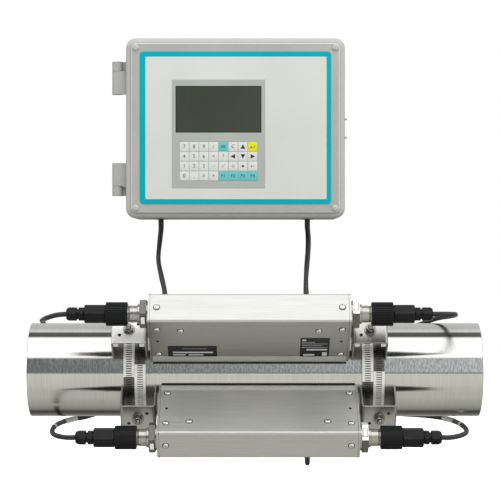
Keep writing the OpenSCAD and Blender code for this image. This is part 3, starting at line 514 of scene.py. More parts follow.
for face in brackets.data.polygons:
    place = end_places[0 if face.center.z > 0 else 1, 1 if face.center.x > 0 else -1]
    heart = place @ Vector((bracket_x, 0, bracket_heart))
    across = place.to_3x3() @ Vector((0, 1, 0))
    # Faces that look into the bracket take the painted shade
    looks_in = (heart - face.center).dot(face.normal) > 0
    face.material_index = 1 if looks_in and abs(face.normal.dot(across)) < 0.5 else 0
    # The web of the upper left bracket is painted palest, a painted highlight
    if not face.material_index and face.normal.z > 0.3 and face.center.x < 0 < face.center.z:
        face.material_index = 2

web_hole_dx, web_hole_dy = sized(11, 7.5)
lying_down = Matrix.Rotation(-math.pi / 2, 4, "Y")
# Black plugs in the web holes stand as painted shade for the dark holes
shadow_plugs("bracket_plugs", [
    place @ Matrix.Translation((bracket_x + side * web_hole_dx, side * web_hole_dy, 0)) @ lying_down
    for place in end_places.values() for side in both],
    *sized(1.55, 2.1, 92.6, 94.52, 94.8), rim_share=0.9)

# Under the front of each upper web two bright tabs are welded into the corners, one on
# each side of the strap's free end, and keep it in the middle.
tab_near, tab_far, tab_low, tab_top = sized(12.6, 18.6, 85, 92.6)
tab_front, tab_back = sized(18.2, 17)
tabs = [((bracket_x + side * tab_near, -end * tab_front, tab_low),
         (bracket_x + side * tab_far, -end * tab_back, tab_top), end_places[0, end])
        for end in both for side in both]
# The tabs take the same pale finish, a painted highlight
piece("bracket_tabs", blocks(tabs, 0.4 * mm), [bracket_painted_light], "meter", "bracket")

# The band straps are thin stainless strips that are slotted all the way round, so that
# the worm of the screw drive can pull them tight at the back of the pipe.
strap_width, strap_in, strap_out = sized(12.7, 59.05, 59.85)
strap_places = sized(-145.5, -132, 141.5, 155)
slot_count, slot_share, slot_half = 134, 0.44, 3.3 * mm


def new_tree(name, **sockets):
    """A geometry tree with named inputs, each given by its kind of socket."""
    tree = bpy.data.node_groups.new(name, "GeometryNodeTree")
    for label, kind in sockets.items():
        tree.interface.new_socket(label, in_out="INPUT", socket_type="NodeSocket" + kind)
    tree.interface.new_socket("Geometry", in_out="OUTPUT", socket_type="NodeSocketGeometry")
    return tree, Maths(tree)


def given(pen, label):
    return pen.node("NodeGroupInput", output=label)


def copy_shape(pen, points, rotation):
    """Ends a tree: its shape, copied to the points, becomes plain geometry in its finish."""
    shape = pen.node("GeometryNodeObjectInfo", output="Geometry", Object=given(pen, "Shape"))
    copies = pen.node("GeometryNodeInstanceOnPoints", Points=points, Instance=shape, Rotation=rotation)
    real = pen.node("GeometryNodeRealizeInstances", Geometry=copies)
    painted = pen.node("GeometryNodeSetMaterial", Geometry=real, Material=given(pen, "Finish"))
    pen.node("NodeGroupOutput", Geometry=painted)


def settled(carrier):
    """The plain mesh that an object shows. The object itself is removed."""
    bpy.context.view_layer.update()
    shown = carrier.evaluated_get(bpy.context.evaluated_depsgraph_get())
    mesh = bpy.data.meshes.new_from_object(shown)
    bpy.data.objects.remove(carrier)
    return mesh


def grown(tree, mesh, shape, **inputs):
    """Runs a tree on a mesh, with a shape to copy, and returns what it makes as a plain mesh."""
    carrier = linked("carrier", mesh)
    modifier = carrier.modifiers.new("growth", "NODES")
    modifier.node_group = tree
    inputs["Shape"] = bpy.data.objects.new("shape", shape)
    for item in tree.interface.items_tree:
        if item.in_out == "INPUT" and item.name in inputs:
            modifier[item.identifier] = inputs[item.name]
    result = settled(carrier)
    bpy.data.objects.remove(inputs["Shape"])
    return result


around, pen = new_tree("round_the_axis", Shape="Object", Count="Int", Radius="Float", Finish="Material")
angle = pen.node("GeometryNodeInputIndex") / given(pen, "Count") * math.tau
sine, cosine = (given(pen, "Radius") * pen.sum(wave, angle) for wave in ("SINE", "COSINE"))
spot = pen.node("ShaderNodeCombineXYZ", Y=cosine, Z=sine)
copy_shape(pen, pen.node("GeometryNodePoints", Count=given(pen, "Count"), Position=spot),
           pen.node("ShaderNodeCombineXYZ", X=angle))

bright_steel = grained("bright_steel", (196, 194, 188), (222, 221, 217), 500, 3, (0.12, 0.18), (0.03, 0.4),
                       metallic=1)
# The band is painted darker than its free end, a painted shade of the layer that lies under it
band_painted_shade = grained("band_painted_shade", (90, 89, 84), (118, 117, 111), 220, 3, (0.28, 0.16), (0.04, 0.4),
                     metallic=1)

# One cell of a strap: a short piece of the band with its slot in the middle
bm = bmesh.new()
cell_half = math.pi / slot_count
cell_x = (-strap_width / 2, -slot_half, slot_half, strap_width / 2)
cell_angles = (-cell_half, -cell_half * slot_share, cell_half * slot_share, cell_half)
layers = [
    [[bm.verts.new((x, radius * math.cos(angle) - strap_in, radius * math.sin(angle)))
      for angle in cell_angles] for x in cell_x]
    for radius in (strap_in, strap_out)]
for row, column in [(row, column) for row in range(3) for column in range(3) if (row, column) != (1, 1)]:
    for layer in layers:
        bm.faces.new((layer[row][column], layer[row + 1][column],
                      layer[row + 1][column + 1], layer[row][column + 1]))
walls = [((row, k), (row, k + 1)) for row in (0, 3) for k in range(3)]
walls += [((1, 1), (1, 2)), ((2, 1), (2, 2)), ((1, 1), (2, 1)), ((1, 2), (2, 2))]
for (row, column), (next_row, next_column) in walls:
    bm.faces.new((layers[0][row][column], layers[0][next_row][next_column],
                  layers[1][next_row][next_column], layers[1][row][column]))
strap_cell = shaded(bm, "strap_cell")
band = grown(around, bpy.data.meshes.new("band"), strap_cell, Count=slot_count, Radius=strap_in,
             Finish=band_painted_shade)


def added(bm, mesh):
    """Adds a mesh to worked geometry and returns its points there."""
    before = len(bm.verts)
    bm.from_mesh(mesh)
    bm.verts.ensure_lookup_table()
    return bm.verts[before:]


bm = bmesh.new()
for place_x in strap_places:
    bmesh.ops.translate(bm, verts=added(bm, band), vec=(place_x, 0, 0))
bmesh.ops.remove_doubles(bm, verts=bm.verts, dist=0.01 * mm)
piece("straps", bm, [band_painted_shade], "meter", "strap", "band_straps")
softened("strap_screws", 0.3 * mm, [bright_steel], "meter", "fastener")

# A thin black strip lies under each strap, a painted shadow under the band, and shows as dark bars in its
# slots. The strap's free end lies over the band in front, painted brighter than the band, a little sprung.
shadow_liner_in, shadow_liner_out, shadow_liner_half = sized(58.97, 59.02, 5.8)
bm = bmesh.new()
for place_x in strap_places:
    turned(bm, [
        (place_x - shadow_liner_half, shadow_liner_in), (place_x - shadow_liner_half, shadow_liner_out),
        (place_x + shadow_liner_half, shadow_liner_out), (place_x + shadow_liner_half, shadow_liner_in)], sides=160, hollow=True)
piece("strap_liners", bm, [rubber], "meter", "rubber")

# The free end is painted pale, a painted light; the same finish serves the key plates and the painted
# highlight on the receptacles
pale_steel_and_painted_light = grained("pale_steel_and_painted_light", (232, 231, 227), (246, 246, 244), 260, 3, (0.22, 0.16), (0.03, 0.3),
                     metallic=0.2)
tail_lift, tail_spring, tail_widening = 0.1 * mm, 0.5 * mm, 1.05
cell_angle = 360 / slot_count
bm = bmesh.new()
# Each tail is (strap, angle where it comes out, angle where it ends), up from the front
for strap, hidden_angle, end_angle in ((0, 52, -4), (1, -52, 9), (2, 52, -9), (3, -52, 2)):
    count = round(abs(end_angle - hidden_angle) / cell_angle)
    toward = 1 if end_angle > hidden_angle else -1
    for k in range(count):
        for vert in added(bm, strap_cell):
            # The cell stands at angle 0 on +Y; its place turns it to the front of the pipe
            along = k + 0.5 + toward * vert.co.z / (2 * strap_in * math.tan(cell_half))
            spring = tail_spring * max(0, along / count * 3 - 2) ** 2
            angle = math.radians(180 - hidden_angle - toward * along * cell_angle)
            reach = strap_out + tail_lift + spring + vert.co.y
            vert.co = (strap_places[strap] + vert.co.x * tail_widening, reach * math.cos(angle),
                       reach * math.sin(angle))
bmesh.ops.remove_doubles(bm, verts=bm.verts, dist=0.02 * mm)
piece("strap_tails", bm, [pale_steel_and_painted_light], "meter", "strap")

# Screws, studs and nuts hold the housings together. The pan heads have a cross recess,
# and each bracket's stud has a rolled thread, two hexagonal nuts and a washer.
screw_head_r, screw_head_h = sized(3.6, 2.2)
screw_r, screw_length = sized(2, 5)
recess_r, recess_depth, recess_half = sized(1.9, 1.1, 0.42)
screw_rows, block_inset, block_row = (pipe_r + 13.5 * mm, pipe_r + 69.5 * mm), 38 * mm, pipe_r + 66.5 * mm
web_top, web_under = sized(94.5, 92.5)
stud_r, stud_thread, stud_pitch = sized(3, 0.35, 1)
stud_above, stud_below = sized(9.5, 9)
nut_flat, nut_h, nut_seat, nut_chamfer = sized(5.02, 5, 0.1, 0.7)
washer_r, washer_h, washer_edge = sized(7.2, 1.2, 0.2)


def hexagon(flat):
    """A limit for turned(): six flats at that distance, two of them square to Z."""
    sixth = math.tau / 6
    return lambda angle: flat / math.cos((angle + sixth / 2) % sixth - sixth / 2)


def cross(half_width):
    """A limit for turned(): four arms of that half width."""
    quarter = math.tau / 4
    return lambda angle: half_width / max(abs(math.sin((angle + quarter / 2) % quarter - quarter / 2)), 0.01)


scattered, pen = new_tree("set_on_points", Points="Geometry", Shape="Object", Finish="Material")
facing = pen.node("GeometryNodeInputNamedAttribute", {"data_type": "FLOAT_VECTOR"}, Name="facing")
copy_shape(pen, given(pen, "Points"),
           pen.node("FunctionNodeAlignRotationToVector", {"axis": "X"}, Vector=facing))


def set_on(points, bm, name, material, *ride):
    """A piece of copies of a worked shape, at points of (place, facing), X along facing."""
    mesh = bpy.data.meshes.new(name)
    mesh.from_pydata([place for place, _ in points], [], [])
    mesh.attributes.new("facing", "FLOAT_VECTOR", "POINT").data.foreach_set(
        "vector", [value for _, facing in points for value in facing])
    piece(name, grown(scattered, mesh, shaded(bm, name), Finish=material), [], *ride)


screw_points = []
for place in end_places.values():
    turn = place.to_3x3()
    spots = [(end_inset, row, wall) for row in screw_rows for wall in both]
    spots += [(block_inset, block_row, wall) for wall in both]
    for inset, row, wall in spots:
        point = place @ Vector((housing_end - inset, wall * housing_half_w, row))
        screw_points.append((point, turn @ Vector((0, wall, 0))))
    screw_points.append((place @ Vector((housing_end - end_inset, 0, housing_r)), turn @ Vector((0, 0, 1))))
bm = bmesh.new()
# The head's dome, as shares of its height and radius
head = [(screw_head_h * height, screw_head_r * radius)
        for height, radius in ((0, 0.94), (0.12, 1), (0.4, 0.96), (0.7, 0.85), (0.9, 0.7))]
turned(bm, [
    (-screw_length, screw_r * 0.7), (-screw_length + screw_r * 0.3, screw_r), (0, screw_r), *head,
    (screw_head_h, recess_r * 1.08), (screw_head_h, recess_r, cross(recess_half)),
    (screw_head_h - recess_depth, recess_r * 0.6, cross(recess_half * 0.8))], sides=32)
set_on(screw_points, bm, "housing_screws", bright_steel, "meter", "fastener", "sensor_fasteners")
# A thin black ring under each screw head is a painted shadow round the head
shadow_ring_r, shadow_ring_bore, shadow_ring_h = sized(4.2, 2.2, 0.25)
bm = bmesh.new()
turned(bm, [(0, shadow_ring_r), (shadow_ring_h * 0.6, shadow_ring_r), (shadow_ring_h, shadow_ring_r - 0.1 * mm), (shadow_ring_h, shadow_ring_bore),
            (0, shadow_ring_bore)], sides=32, hollow=True)
set_on(screw_points, bm, "screw_seals", rubber, "meter", "rubber")


def thread(start, end, radius, depth, pitch):
    """Rings of a rolled thread along X."""
    turns = max(1, round((end - start) / pitch))
    step = (end - start) / turns
    rings = [(start, radius - depth)]
    for k in range(turns):
        rings += [(start + (k + 0.4) * step, radius), (start + (k + 0.6) * step, radius)]
        rings.append((start + (k + 1) * step, radius - depth))
    return rings


def hex_rings(start, end, flat, chamfer):
    """Rings of a hexagonal nut along X with its corners chamfered at both ends."""
    corner, limit = flat / math.cos(math.pi / 6), hexagon(flat)
    rim, end_flat = flat * 0.97, flat * 0.985
    return [
        (start, rim), (start, end_flat, limit), (start + chamfer, corner, limit),
        (end - chamfer, corner, limit), (end, end_flat, limit), (end, rim)]


bm = bmesh.new()
washer_seat, bore = web_top + nut_seat, stud_r + 0.05 * mm
washer_top = washer_seat + washer_h
for place in end_places.values():
    # X of the turned pieces points away from the pipe, along the sensor frame's Z
    upright = place @ Matrix.Translation((bracket_x, 0, 0)) @ lying_down
    rod = thread(web_under - stud_below, web_top + stud_above - stud_thread, stud_r, stud_thread, stud_pitch)
    turned(bm, rod + [(web_top + stud_above, stud_r * 0.75)], upright, sides=24)
    turned(bm, [
        (washer_seat, washer_r), (washer_top - washer_edge, washer_r), (washer_top, washer_r - washer_edge),
        (washer_top, bore), (washer_seat, bore)], upright, hollow=True)
    for start in (washer_top + nut_seat, web_under - nut_seat - nut_h):
        nut = hex_rings(start, start + nut_h, nut_flat, nut_chamfer)
        turned(bm, nut + [(start + nut_h, bore), (start, bore)], upright, sides=36, hollow=True)
zinc = grained("zinc", (130, 129, 123), (162, 161, 155), 420, 3, (0.18, 0.16), (0.03, 0.4), metallic=1)
piece("studs_and_nuts", bm, [zinc], "meter", "fastener")

# Each housing end has a nickel-plated receptacle: a seal washer, a hexagon with a key
# plate on one of its flats, and a barrel with a collar, held by a jam nut from inside.
connector_r = 129.5 * mm
hex_x, barrel_x, ring_x, plug_x, lock_x = sized(1.5, 9.5, 24, 49.5, 74.5)
barrel_r, barrel_bore, barrel_end = sized(10, 7, 35.8)
barrel_inside, cap_sheet, seat_gap = sized(12, 1.5, 0.1)
receptacle_flat, jam_flat, jam_length, seal_washer_r = sized(16.3, 11.25, 4, 15)
hexagon_in, hexagon_out = sized(12, 20)
# The flat of each hexagon that bears the key plate, turned about the connector's axis
key_facets = {(0, -1): -60, (0, 1): 0, (1, -1): 0, (1, 1): -60}
nickel = grained("nickel", (162, 160, 153), (180, 178, 172), 350, 3, (0.2, 0.12), (0.02, 0.3), metallic=1)
satin_nickel = grained("satin_nickel", (98, 98, 93), (110, 110, 105), 350, 3, (0.36, 0.12), metallic=0.8)
# The frame on each connector's axis, with its X from the housing's end outward
connector_places = {
    key: place @ Matrix.Translation((housing_end, 0, connector_r)) for key, place in end_places.items()}

bm = bmesh.new()
bore, jam_end = barrel_r + seat_gap, -cap_sheet - seat_gap
for place in connector_places.values():
    turned(bm, [(0, seal_washer_r), (hex_x - seat_gap, seal_washer_r), (hex_x - seat_gap, bore), (0, bore)],
           place, hollow=True)
    collar = [(barrel_x, barrel_r + 1.5 * mm), (barrel_x + 2.6 * mm, barrel_r + 1.5 * mm),
              (barrel_x + 3 * mm, barrel_r + 1.1 * mm), (barrel_x + 3 * mm, barrel_r)]
    screwed = thread(ring_x - 2.4 * mm, ring_x + 8 * mm, barrel_r, 0.45 * mm, 1.5 * mm)
    turned(bm, hex_rings(hex_x, barrel_x, receptacle_flat, 0.4 * mm)[1:] + collar
           + [(ring_x - 3 * mm, barrel_r)] + screwed + [
               (barrel_end - 0.5 * mm, barrel_r - 0.4 * mm), (barrel_end, barrel_r - 0.9 * mm),
               (barrel_end, barrel_bore), (-barrel_inside, barrel_bore), (-barrel_inside, barrel_r),
               (hex_x, barrel_r)], place, sides=72, hollow=True)
    jam = hex_rings(jam_end - jam_length, jam_end, jam_flat, 0.8 * mm)
    turned(bm, jam + [(jam_end, bore), (jam_end - jam_length, bore)], place, sides=36, hollow=True)
receptacles = piece("receptacles", bm, [nickel, satin_nickel, pale_steel_and_painted_light], "meter", "receptacle",
                    "sensor_receptacles")
for face in receptacles.data.polygons:
    for (i, end), place in connector_places.items():
        spot = place.inverted() @ face.center
        if hex_x < spot.x < barrel_x and hexagon_in < math.hypot(spot.y, spot.z) < hexagon_out:
            # The right-hand hexagons' flats that look up are painted brighter, a painted highlight
            face.material_index = 2 if end == 1 and face.normal.z > 0.2 else 1

key_half_x, key_half_across, key_edge = sized(2.3, 4.4, 0.7)
key_rise, seat_rise = sized(0.3, 0.12)
key_middle = (hex_x + barrel_x) / 2
for name, edge, rise, material in (("seats", key_edge, seat_rise, rubber),
                                   ("plates", 0, key_rise, pale_steel_and_painted_light)):
    tiles = [((key_middle - key_half_x - edge, -key_half_across - edge, receptacle_flat - 0.5 * mm),
              (key_middle + key_half_x + edge, key_half_across + edge, receptacle_flat + rise),
              connector_places[key] @ Matrix.Rotation(math.radians(facet), 4, "X"))
             for key, facet in key_facets.items()]
    piece(f"key_{name}", blocks(tiles), [material], "meter", "receptacle")

# A black moulded plug is pushed into each receptacle: a nose, a hexagonal body with a
# lock hexagon behind it, a narrow neck, and a gland nut with a round shoulder.
neck_x, gland_x, cable_x, shoulder = sized(81.5, 83.5, 96, 92.6)
spigot_r, plug_flat, lock_flat, gland_flat = sized(9, 10.57, 7.62, 7.71)
flange_x, flange_back, flange_r, nose_x, nose_r = sized(36.1, 38.9, 9.9, 27.6, 6.7)
black_plastic, shader, pen = finish("black_plastic", shade(20, 21, 22), roughness=0.24, shine=0.16)
film = grain(pen, even, 60, 2)
feed(shader,
     Base_Color=film.between((14, 15, 16), (26, 27, 28)),
     Roughness=0.16 + film * 0.16,
     Normal=bump(pen, grain(pen, even, 1300, 2), 0.02, 0.3))

bm = bmesh.new()
for place in connector_places.values():
    turned(bm, [
        (nose_x, nose_r - 0.5 * mm), (nose_x + 0.5 * mm, nose_r), (flange_x, nose_r), (flange_x, flange_r),
        (flange_back, flange_r), (flange_back, spigot_r), (plug_x + seat_gap, spigot_r)]
        + hex_rings(plug_x + seat_gap, lock_x, plug_flat, 0.9 * mm)[1:-1]
        + [(lock_x, 7 * mm), (lock_x + 0.6 * mm, 7 * mm)]
        + hex_rings(lock_x + 0.6 * mm, neck_x, lock_flat, 0.6 * mm)[1:-1]
        + [(neck_x, 6 * mm), (gland_x, 6 * mm)]
        + hex_rings(gland_x, shoulder, gland_flat, 0.7 * mm)[1:-2]
        + [(shoulder, gland_flat * 1.06, hexagon(gland_flat)), (cable_x - 2.2 * mm, gland_flat * 0.98),
           (cable_x - 1 * mm, 6.9 * mm), (cable_x - 0.3 * mm, 6.1 * mm), (cable_x, 5.2 * mm)],
        place, sides=72)
piece("plugs", bm, [black_plastic], "meter", "plug", "cable_plugs")

# A coupling ring turns on each plug and screws onto the barrel. It is moulded with
# straight ribs for the fingers, and its two rims are chamfered.
ring_r, ring_length, rib_depth, rib_count = 14 * mm, 25.5 * mm, 0.7 * mm, 36
# A rib's half width as a share of its pitch, how much it widens at its foot and narrows at
# its top, and how deep its foot is sunk, as a share of its depth
rib_share, rib_foot, rib_top, rib_sunk = 0.27, 1.25, 0.8, 0.5
shoulder_x, ring_bore, ring_chamfer = sized(39, 10.35, 0.4)
ring_names = {(0, -1): "upper_left", (0, 1): "upper_right", (1, -1): "lower_left", (1, 1): "lower_right"}
ring_plastic = grained("ring_plastic", (14, 15, 16), (26, 27, 28), 1600, 2, (0.42, 0.15), (0.04, 0.6),
                       shine=0.22)
rib_half, rim, slope = rib_share * math.tau * ring_r / rib_count, 0.2 * mm, 0.3 * mm
rib = bmesh.new()
joined(rib, [
    [(x, rib_depth * rise, side * rib_half)
     for rise, side in ((-rib_sunk, -rib_foot), (height, -rib_top), (height, rib_top),
                        (-rib_sunk, rib_foot))]
    for x, height in ((rim, 0), (rim + slope, 1), (ring_length - rim - slope, 1), (ring_length - rim, 0))])
ring_core = ring_r - rib_depth
ribs = grown(around, bpy.data.meshes.new("ribs"), shaded(rib, "ring_rib"), Count=rib_count,
             Radius=ring_core, Finish=ring_plastic)
spigot_bore, spigot_end = spigot_r + 0.05 * mm, shoulder_x - ring_x
for key, place in connector_places.items():
    bm = bmesh.new()
    bm.from_mesh(ribs)
    turned(bm, [
        (0, ring_core - ring_chamfer), (ring_chamfer, ring_core), (ring_length - ring_chamfer, ring_core),
        (ring_length, ring_core - ring_chamfer), (ring_length, spigot_bore), (spigot_end, spigot_bore),
        (spigot_end, ring_bore), (0.6 * mm, ring_bore), (0, ring_bore + 0.6 * mm)], sides=96, hollow=True)
    bm.transform(place @ Matrix.Translation((ring_x, 0, 0)))
    name = ring_names[key]
    piece(f"coupling_ring_{name}", bm, [ring_plastic], f"ring_{name}_body", "coupling_ring", f"ring_{name}")

# Four black sheathed cables run from the glands round the back of the pipe to the two
# entries in the enclosure's underside. The lower two carry plain white marker sleeves.
cable_r, cable_steps = 3 * mm, 8
routes = {
    "upper_left": (
        (-215.5, -107.4, 72.4), (-226, -106.5, 71.4), (-235.2, -98, 69.1), (-243.2, -80, 66.2),
        (-249.2, -48, 63.8), (-254.2, -15, 61.5), (-258.5, 18, 59), (-256, 44, 51),
        (-248, 64, 46.5), (-232, 77, 43), (-206, 84, 40), (-172, 84, 38),
        (-140, 85, 47), (-118, 91, 65), (-110.5, 102, 90), (-116, 122, 114),
        (-120.5, 144, 137), (-119, 162, 161), (-117.5, 165, 176), (-117.5, 165, 188)),
    "lower_left": (
        (-205, -107.4, -72.4), (-216, -107.4, -72.4), (-228, -100.5, -71), (-234.7, -83, -69.1),
        (-237, -55, -67.2), (-236.4, -22, -66.2), (-231.8, 10, -65.4), (-221.7, 39, -64.7),
        (-205, 62, -63.2), (-182, 73, -55), (-160, 77, -37), (-142, 78, -8),
        (-128, 81, 25), (-114, 92, 56), (-109.5, 106, 84), (-114, 125, 108),
        (-120.5, 149, 132), (-120.5, 166, 155), (-119, 172.2, 174), (-119, 172.2, 188)),
    "upper_right": (
        (214.5, -107.4, 72.4), (226, -107.4, 72.4), (237.5, -100.5, 72), (244, -82, 71),
        (245.5, -54, 69), (241.5, -24, 66.5), (233, 6, 63.5), (222, 31, 58),
        (208, 53, 51), (187, 71, 43), (160, 80, 39), (126, 84, 41),
        (97, 86, 52), (78, 93, 72), (73, 106, 95), (73.5, 127, 121),
        (76, 149, 147), (76.5, 162, 167), (75.5, 165, 178), (75.5, 165, 188)),
    "lower_right": (
        (225, -107.4, -72.4), (236, -107.4, -72.4), (249, -100, -70.5), (257, -82, -68.8),
        (259.5, -50, -67), (257.5, -16, -65.6), (251.5, 15, -64.2), (239, 41, -63),
        (217, 60, -62), (182, 69, -61), (144, 68, -62), (108, 57, -64.5),
        (86, 38, -72), (74.5, 21, -85), (72, 18, -104), (72, 33, -119),
        (72, 55, -118), (72, 68, -101), (72, 72, -70), (72, 73, -36),
        (72, 74, 0), (71.5, 83, 46), (72, 103, 81), (73, 127, 108),
        (76, 150, 134), (78, 167, 158), (77, 172.2, 176), (77, 172.2, 188)),
}
# Sleeves on a lower cable, each from one distance to another along it from its gland
sleeve_r, sleeve_edge, sleeve_steps, sleeve_sides = 3.35 * mm, 0.15 * mm, 12, 24
sleeves = {
    "lower_left": ((84 * mm, 92 * mm), (142 * mm, 174 * mm)),
    "lower_right": ((103 * mm, 112 * mm), (138 * mm, 167 * mm)),
}
cable_sheath = grained("cable_sheath", (22, 23, 24), (42, 43, 44), 220, 3, (0.34, 0.22), (0.05, 0.4),
                       shine=0.4)
sleeve_white = grained("sleeve_white", (190, 190, 184), (226, 226, 222), 260, 3, dent=(0.05, 0.3))


def through(points):
    """A smooth line through a route's points, in short steps."""
    line = []
    for k in range(len(points) - 1):
        a, b, c, d = (points[min(max(k + step, 0), len(points) - 1)] for step in (-1, 0, 1, 2))
        for step in range(cable_steps):
            t = step / cable_steps
            line.append(0.5 * (2 * b + (c - a) * t + (2 * a - 5 * b + 4 * c - d) * t * t
                               + (3 * b - a - 3 * c + d) * t ** 3))
    return line + [points[-1]]


def at_distance(line, distance):
    """The point at a distance along a line, and the line's direction there."""
    for near, far in zip(line, line[1:]):
        step = (far - near).length
        if distance <= step:
            return near.lerp(far, distance / step), (far - near).normalized()
        distance -= step
    return line[-1], (line[-1] - line[-2]).normalized()


def sleeve(line, start, end):
    """A short tube that is slid over a cable, with rounded ends."""
    bm = bmesh.new()
    rings = [(start, sleeve_r - sleeve_edge)]
    rings += [(start + (end - start) * (0.02 + 0.96 * k / sleeve_steps), sleeve_r)
              for k in range(sleeve_steps + 1)]
    rings += [(end, sleeve_r - sleeve_edge), (end, cable_r * 0.98), (start, cable_r * 0.98)]
    loops = []
    for distance, radius in rings:
        middle, along = at_distance(line, distance)
        side = along.cross(Vector((0, 0, 1))).normalized()
        over = side.cross(along)
        loops.append([
            middle + radius * (side * math.cos(angle) + over * math.sin(angle))
            for angle in (math.tau * k / sleeve_sides for k in range(sleeve_sides))])
    joined(bm, loops, True)
    return bm


for name, route in routes.items():
    line = through([Vector(point) * mm for point in route])
    curve = bpy.data.curves.new(f"cable_{name}_line", "CURVE")
    curve.dimensions = "3D"
    spline = curve.splines.new("POLY")
    spline.points.add(len(line) - 1)
    for point, place in zip(spline.points, line):
        point.co = (*place, 1)
    curve.bevel_depth, curve.bevel_resolution, curve.use_fill_caps = cable_r, 5, True
    # The photographed pipe mirrors two of the cables alone
    cable = piece(f"sensor_cable_{name}", curve, [cable_sheath], "meter", "cable", f"cable_{name}")
    cable.visible_glossy = name in ("lower_left", "upper_right")
    on_it = [
        piece(f"marker_sleeve_{name}_{k + 1}", sleeve(line, *ends), [sleeve_white], "meter", "cable")
        for k, ends in enumerate(sleeves.get(name, ()))]
    length = sum((far - near).length for near, far in zip(line, line[1:]))

# The enclosure's body is a deep moulded box of grey plastic. Bosses in its corners take
# the wall screws, and two pairs of knuckles on its left side carry the door.
enclosure_x, enclosure_front, enclosure_z = sized(-19, 118, 306.5)
enclosure_w, enclosure_h, corner_r = sized(285.75, 235, 13)
moulded_grey, shader, pen = finish("moulded_grey", shade(164, 164, 162), roughness=0.42, shine=0.4)
pebble = grain(pen, even, 1100, 2)
cloud = grain(pen, even, 16, 2)
feed(shader,
     Base_Color=(pebble * 0.5 + cloud * 0.5).between((159, 159, 157), (170, 170, 168), 0.35),
     Roughness=0.36 + pebble * 0.14,
     Normal=bump(pen, pebble, 0.03, 0.5))
softened("enclosure_body", 0.6 * mm, [moulded_grey], "meter", "enclosure")

# Two oval rubber grommets are pressed into the holes in the enclosure's underside. Each
# is moulded in one piece and takes two cables side by side.
softened("entry_grommets", 0.3 * mm, [rubber], "meter", "rubber")

# The main board stands on four posts at the back. It carries a row of cable terminals, a
# power supply in a tin case, a processor and a relay, with small parts between them.
board_front = 215.3 * mm
terminal_front, terminal_z, terminal_top, supply_edge = sized(199.3, 252.5, 270, -30)
board_green, shader, pen = finish("board_green", shade(28, 92, 58), roughness=0.3, coat=0.4)
# Copper tracks under the lacquer are drawn as a pattern of long bricks
flat = pen.node("ShaderNodeMapping", Vector=pen.node("ShaderNodeTexCoord", output="Object"),
                Rotation=(math.radians(-90), 0, 0))
copper = pen.node("ShaderNodeTexBrick", output="Fac", Vector=flat, Scale=220, Mortar_Size=0.05)
feed(shader,
     Base_Color=copper.mix(shade(28, 92, 58), shade(58, 128, 80)),
     Normal=bump(pen, copper, 0.03, 0.5))
terminal_green = grained("terminal_green", (62, 130, 76), (78, 150, 92), 500, roughness=0.45)
tinned_case = grained("tinned_case", (176, 176, 174), (196, 196, 194), 300, 3, (0.28, 0.16), metallic=1)
chip_black = grained("chip_black", (30, 30, 32), (46, 46, 48), 900, dent=(0.02, 0.4))
board = softened("main_board", 0.4 * mm, [board_green, terminal_green, tinned_case, chip_black], "meter",
                 "circuit_board")
for face in board.data.polygons:
    x, y, z = face.center
    above = 1 if z < terminal_top else 2 if x < supply_edge else 3
    face.material_index = 0 if y > board_front - 0.2 * mm else above

terminal_pitch, block_screws, block_count, block_row_length = 6 * mm, 4, 6, 200 * mm


def spread(count, pitch):
    """Where the members of a row stand, in equal steps about its middle."""
    return [(k - (count - 1) / 2) * pitch for k in range(count)]


bm = bmesh.new()
turned(bm, [(-0.4 * mm, 1.9 * mm), (0.3 * mm, 1.9 * mm), (0.5 * mm, 1.7 * mm),
            (0.5 * mm, 1.5 * mm, cross(0.35 * mm)), (0, 1.4 * mm, cross(0.3 * mm))], sides=16)
toward_door, on_board = Vector((0, -1, 0)), ("meter", "circuit_board")
terminal_points = [
    (Vector((enclosure_x + block + screw, terminal_front, terminal_z)), toward_door)
    for block in spread(block_count, block_row_length / block_count)
    for screw in spread(block_screws, terminal_pitch)]
set_on(terminal_points, bm, "terminal_screws", bright_steel, *on_board)


def board_points(spots):
    """Points on the main board, from its middle in mm, that face the door."""
    return [
        (Vector((enclosure_x + x * mm, board_front, enclosure_z + z * mm)), toward_door) for x, z in spots]


bm = bmesh.new()
turned(bm, [(-0.3 * mm, 3.1 * mm), (0, 3.2 * mm), (1 * mm, 3.2 * mm), (1.5 * mm, 2.9 * mm),
            (2 * mm, 3.2 * mm), (10.6 * mm, 3.2 * mm), (11 * mm, 2.8 * mm)], sides=24)
set_on(board_points(((-12, 50), (-12, 38), (-12, 26), (88, 10), (88, -4), (-84, -4), (-70, -4))), bm,
       "board_capacitors", chip_black, *on_board)
small_chip = blocks([((-0.2 * mm, -3 * mm, -5 * mm), (2 * mm, 3 * mm, 5 * mm))], 0.3 * mm, segments=1)
set_on(board_points([(x, z) for x in (-40, -20, 0, 20, 40, 60) for z in (-14, -30)]), small_chip,
       "board_small_chips", chip_black, *on_board)

# Two steel pins pass through the knuckles, and the door turns on them. The door is a
# moulded tray with a raised front. Its rim falls away all round, and is broadly rounded.
step_front = enclosure_front + 3 * mm
rim_round, raised_round, small_round = sized(6, 1.3, 0.4)
same_plane, rim_reach, raised_reach = sized(0.1, 1, 10)
softened("hinge_pins", 0.5 * mm, [bright_steel], "meter", "fastener")


def inward(point):
    """How far a point of the front lies inside the door's outline."""
    dx = abs(point.x - enclosure_x) - (enclosure_w / 2 - corner_r)
    dz = abs(point.z - enclosure_z) - (enclosure_h / 2 - corner_r)
    return corner_r - math.hypot(max(dx, 0), max(dz, 0)) - min(max(dx, dz), 0)


def door_rounding(middle):
    """An edge's share of the rim's rounding."""
    if abs(middle.y - step_front) < same_plane and inward(middle) < rim_reach:
        return 1
    raised = abs(middle.y - enclosure_front) < same_plane and inward(middle) < raised_reach
    return (raised_round if raised else small_round) / rim_round


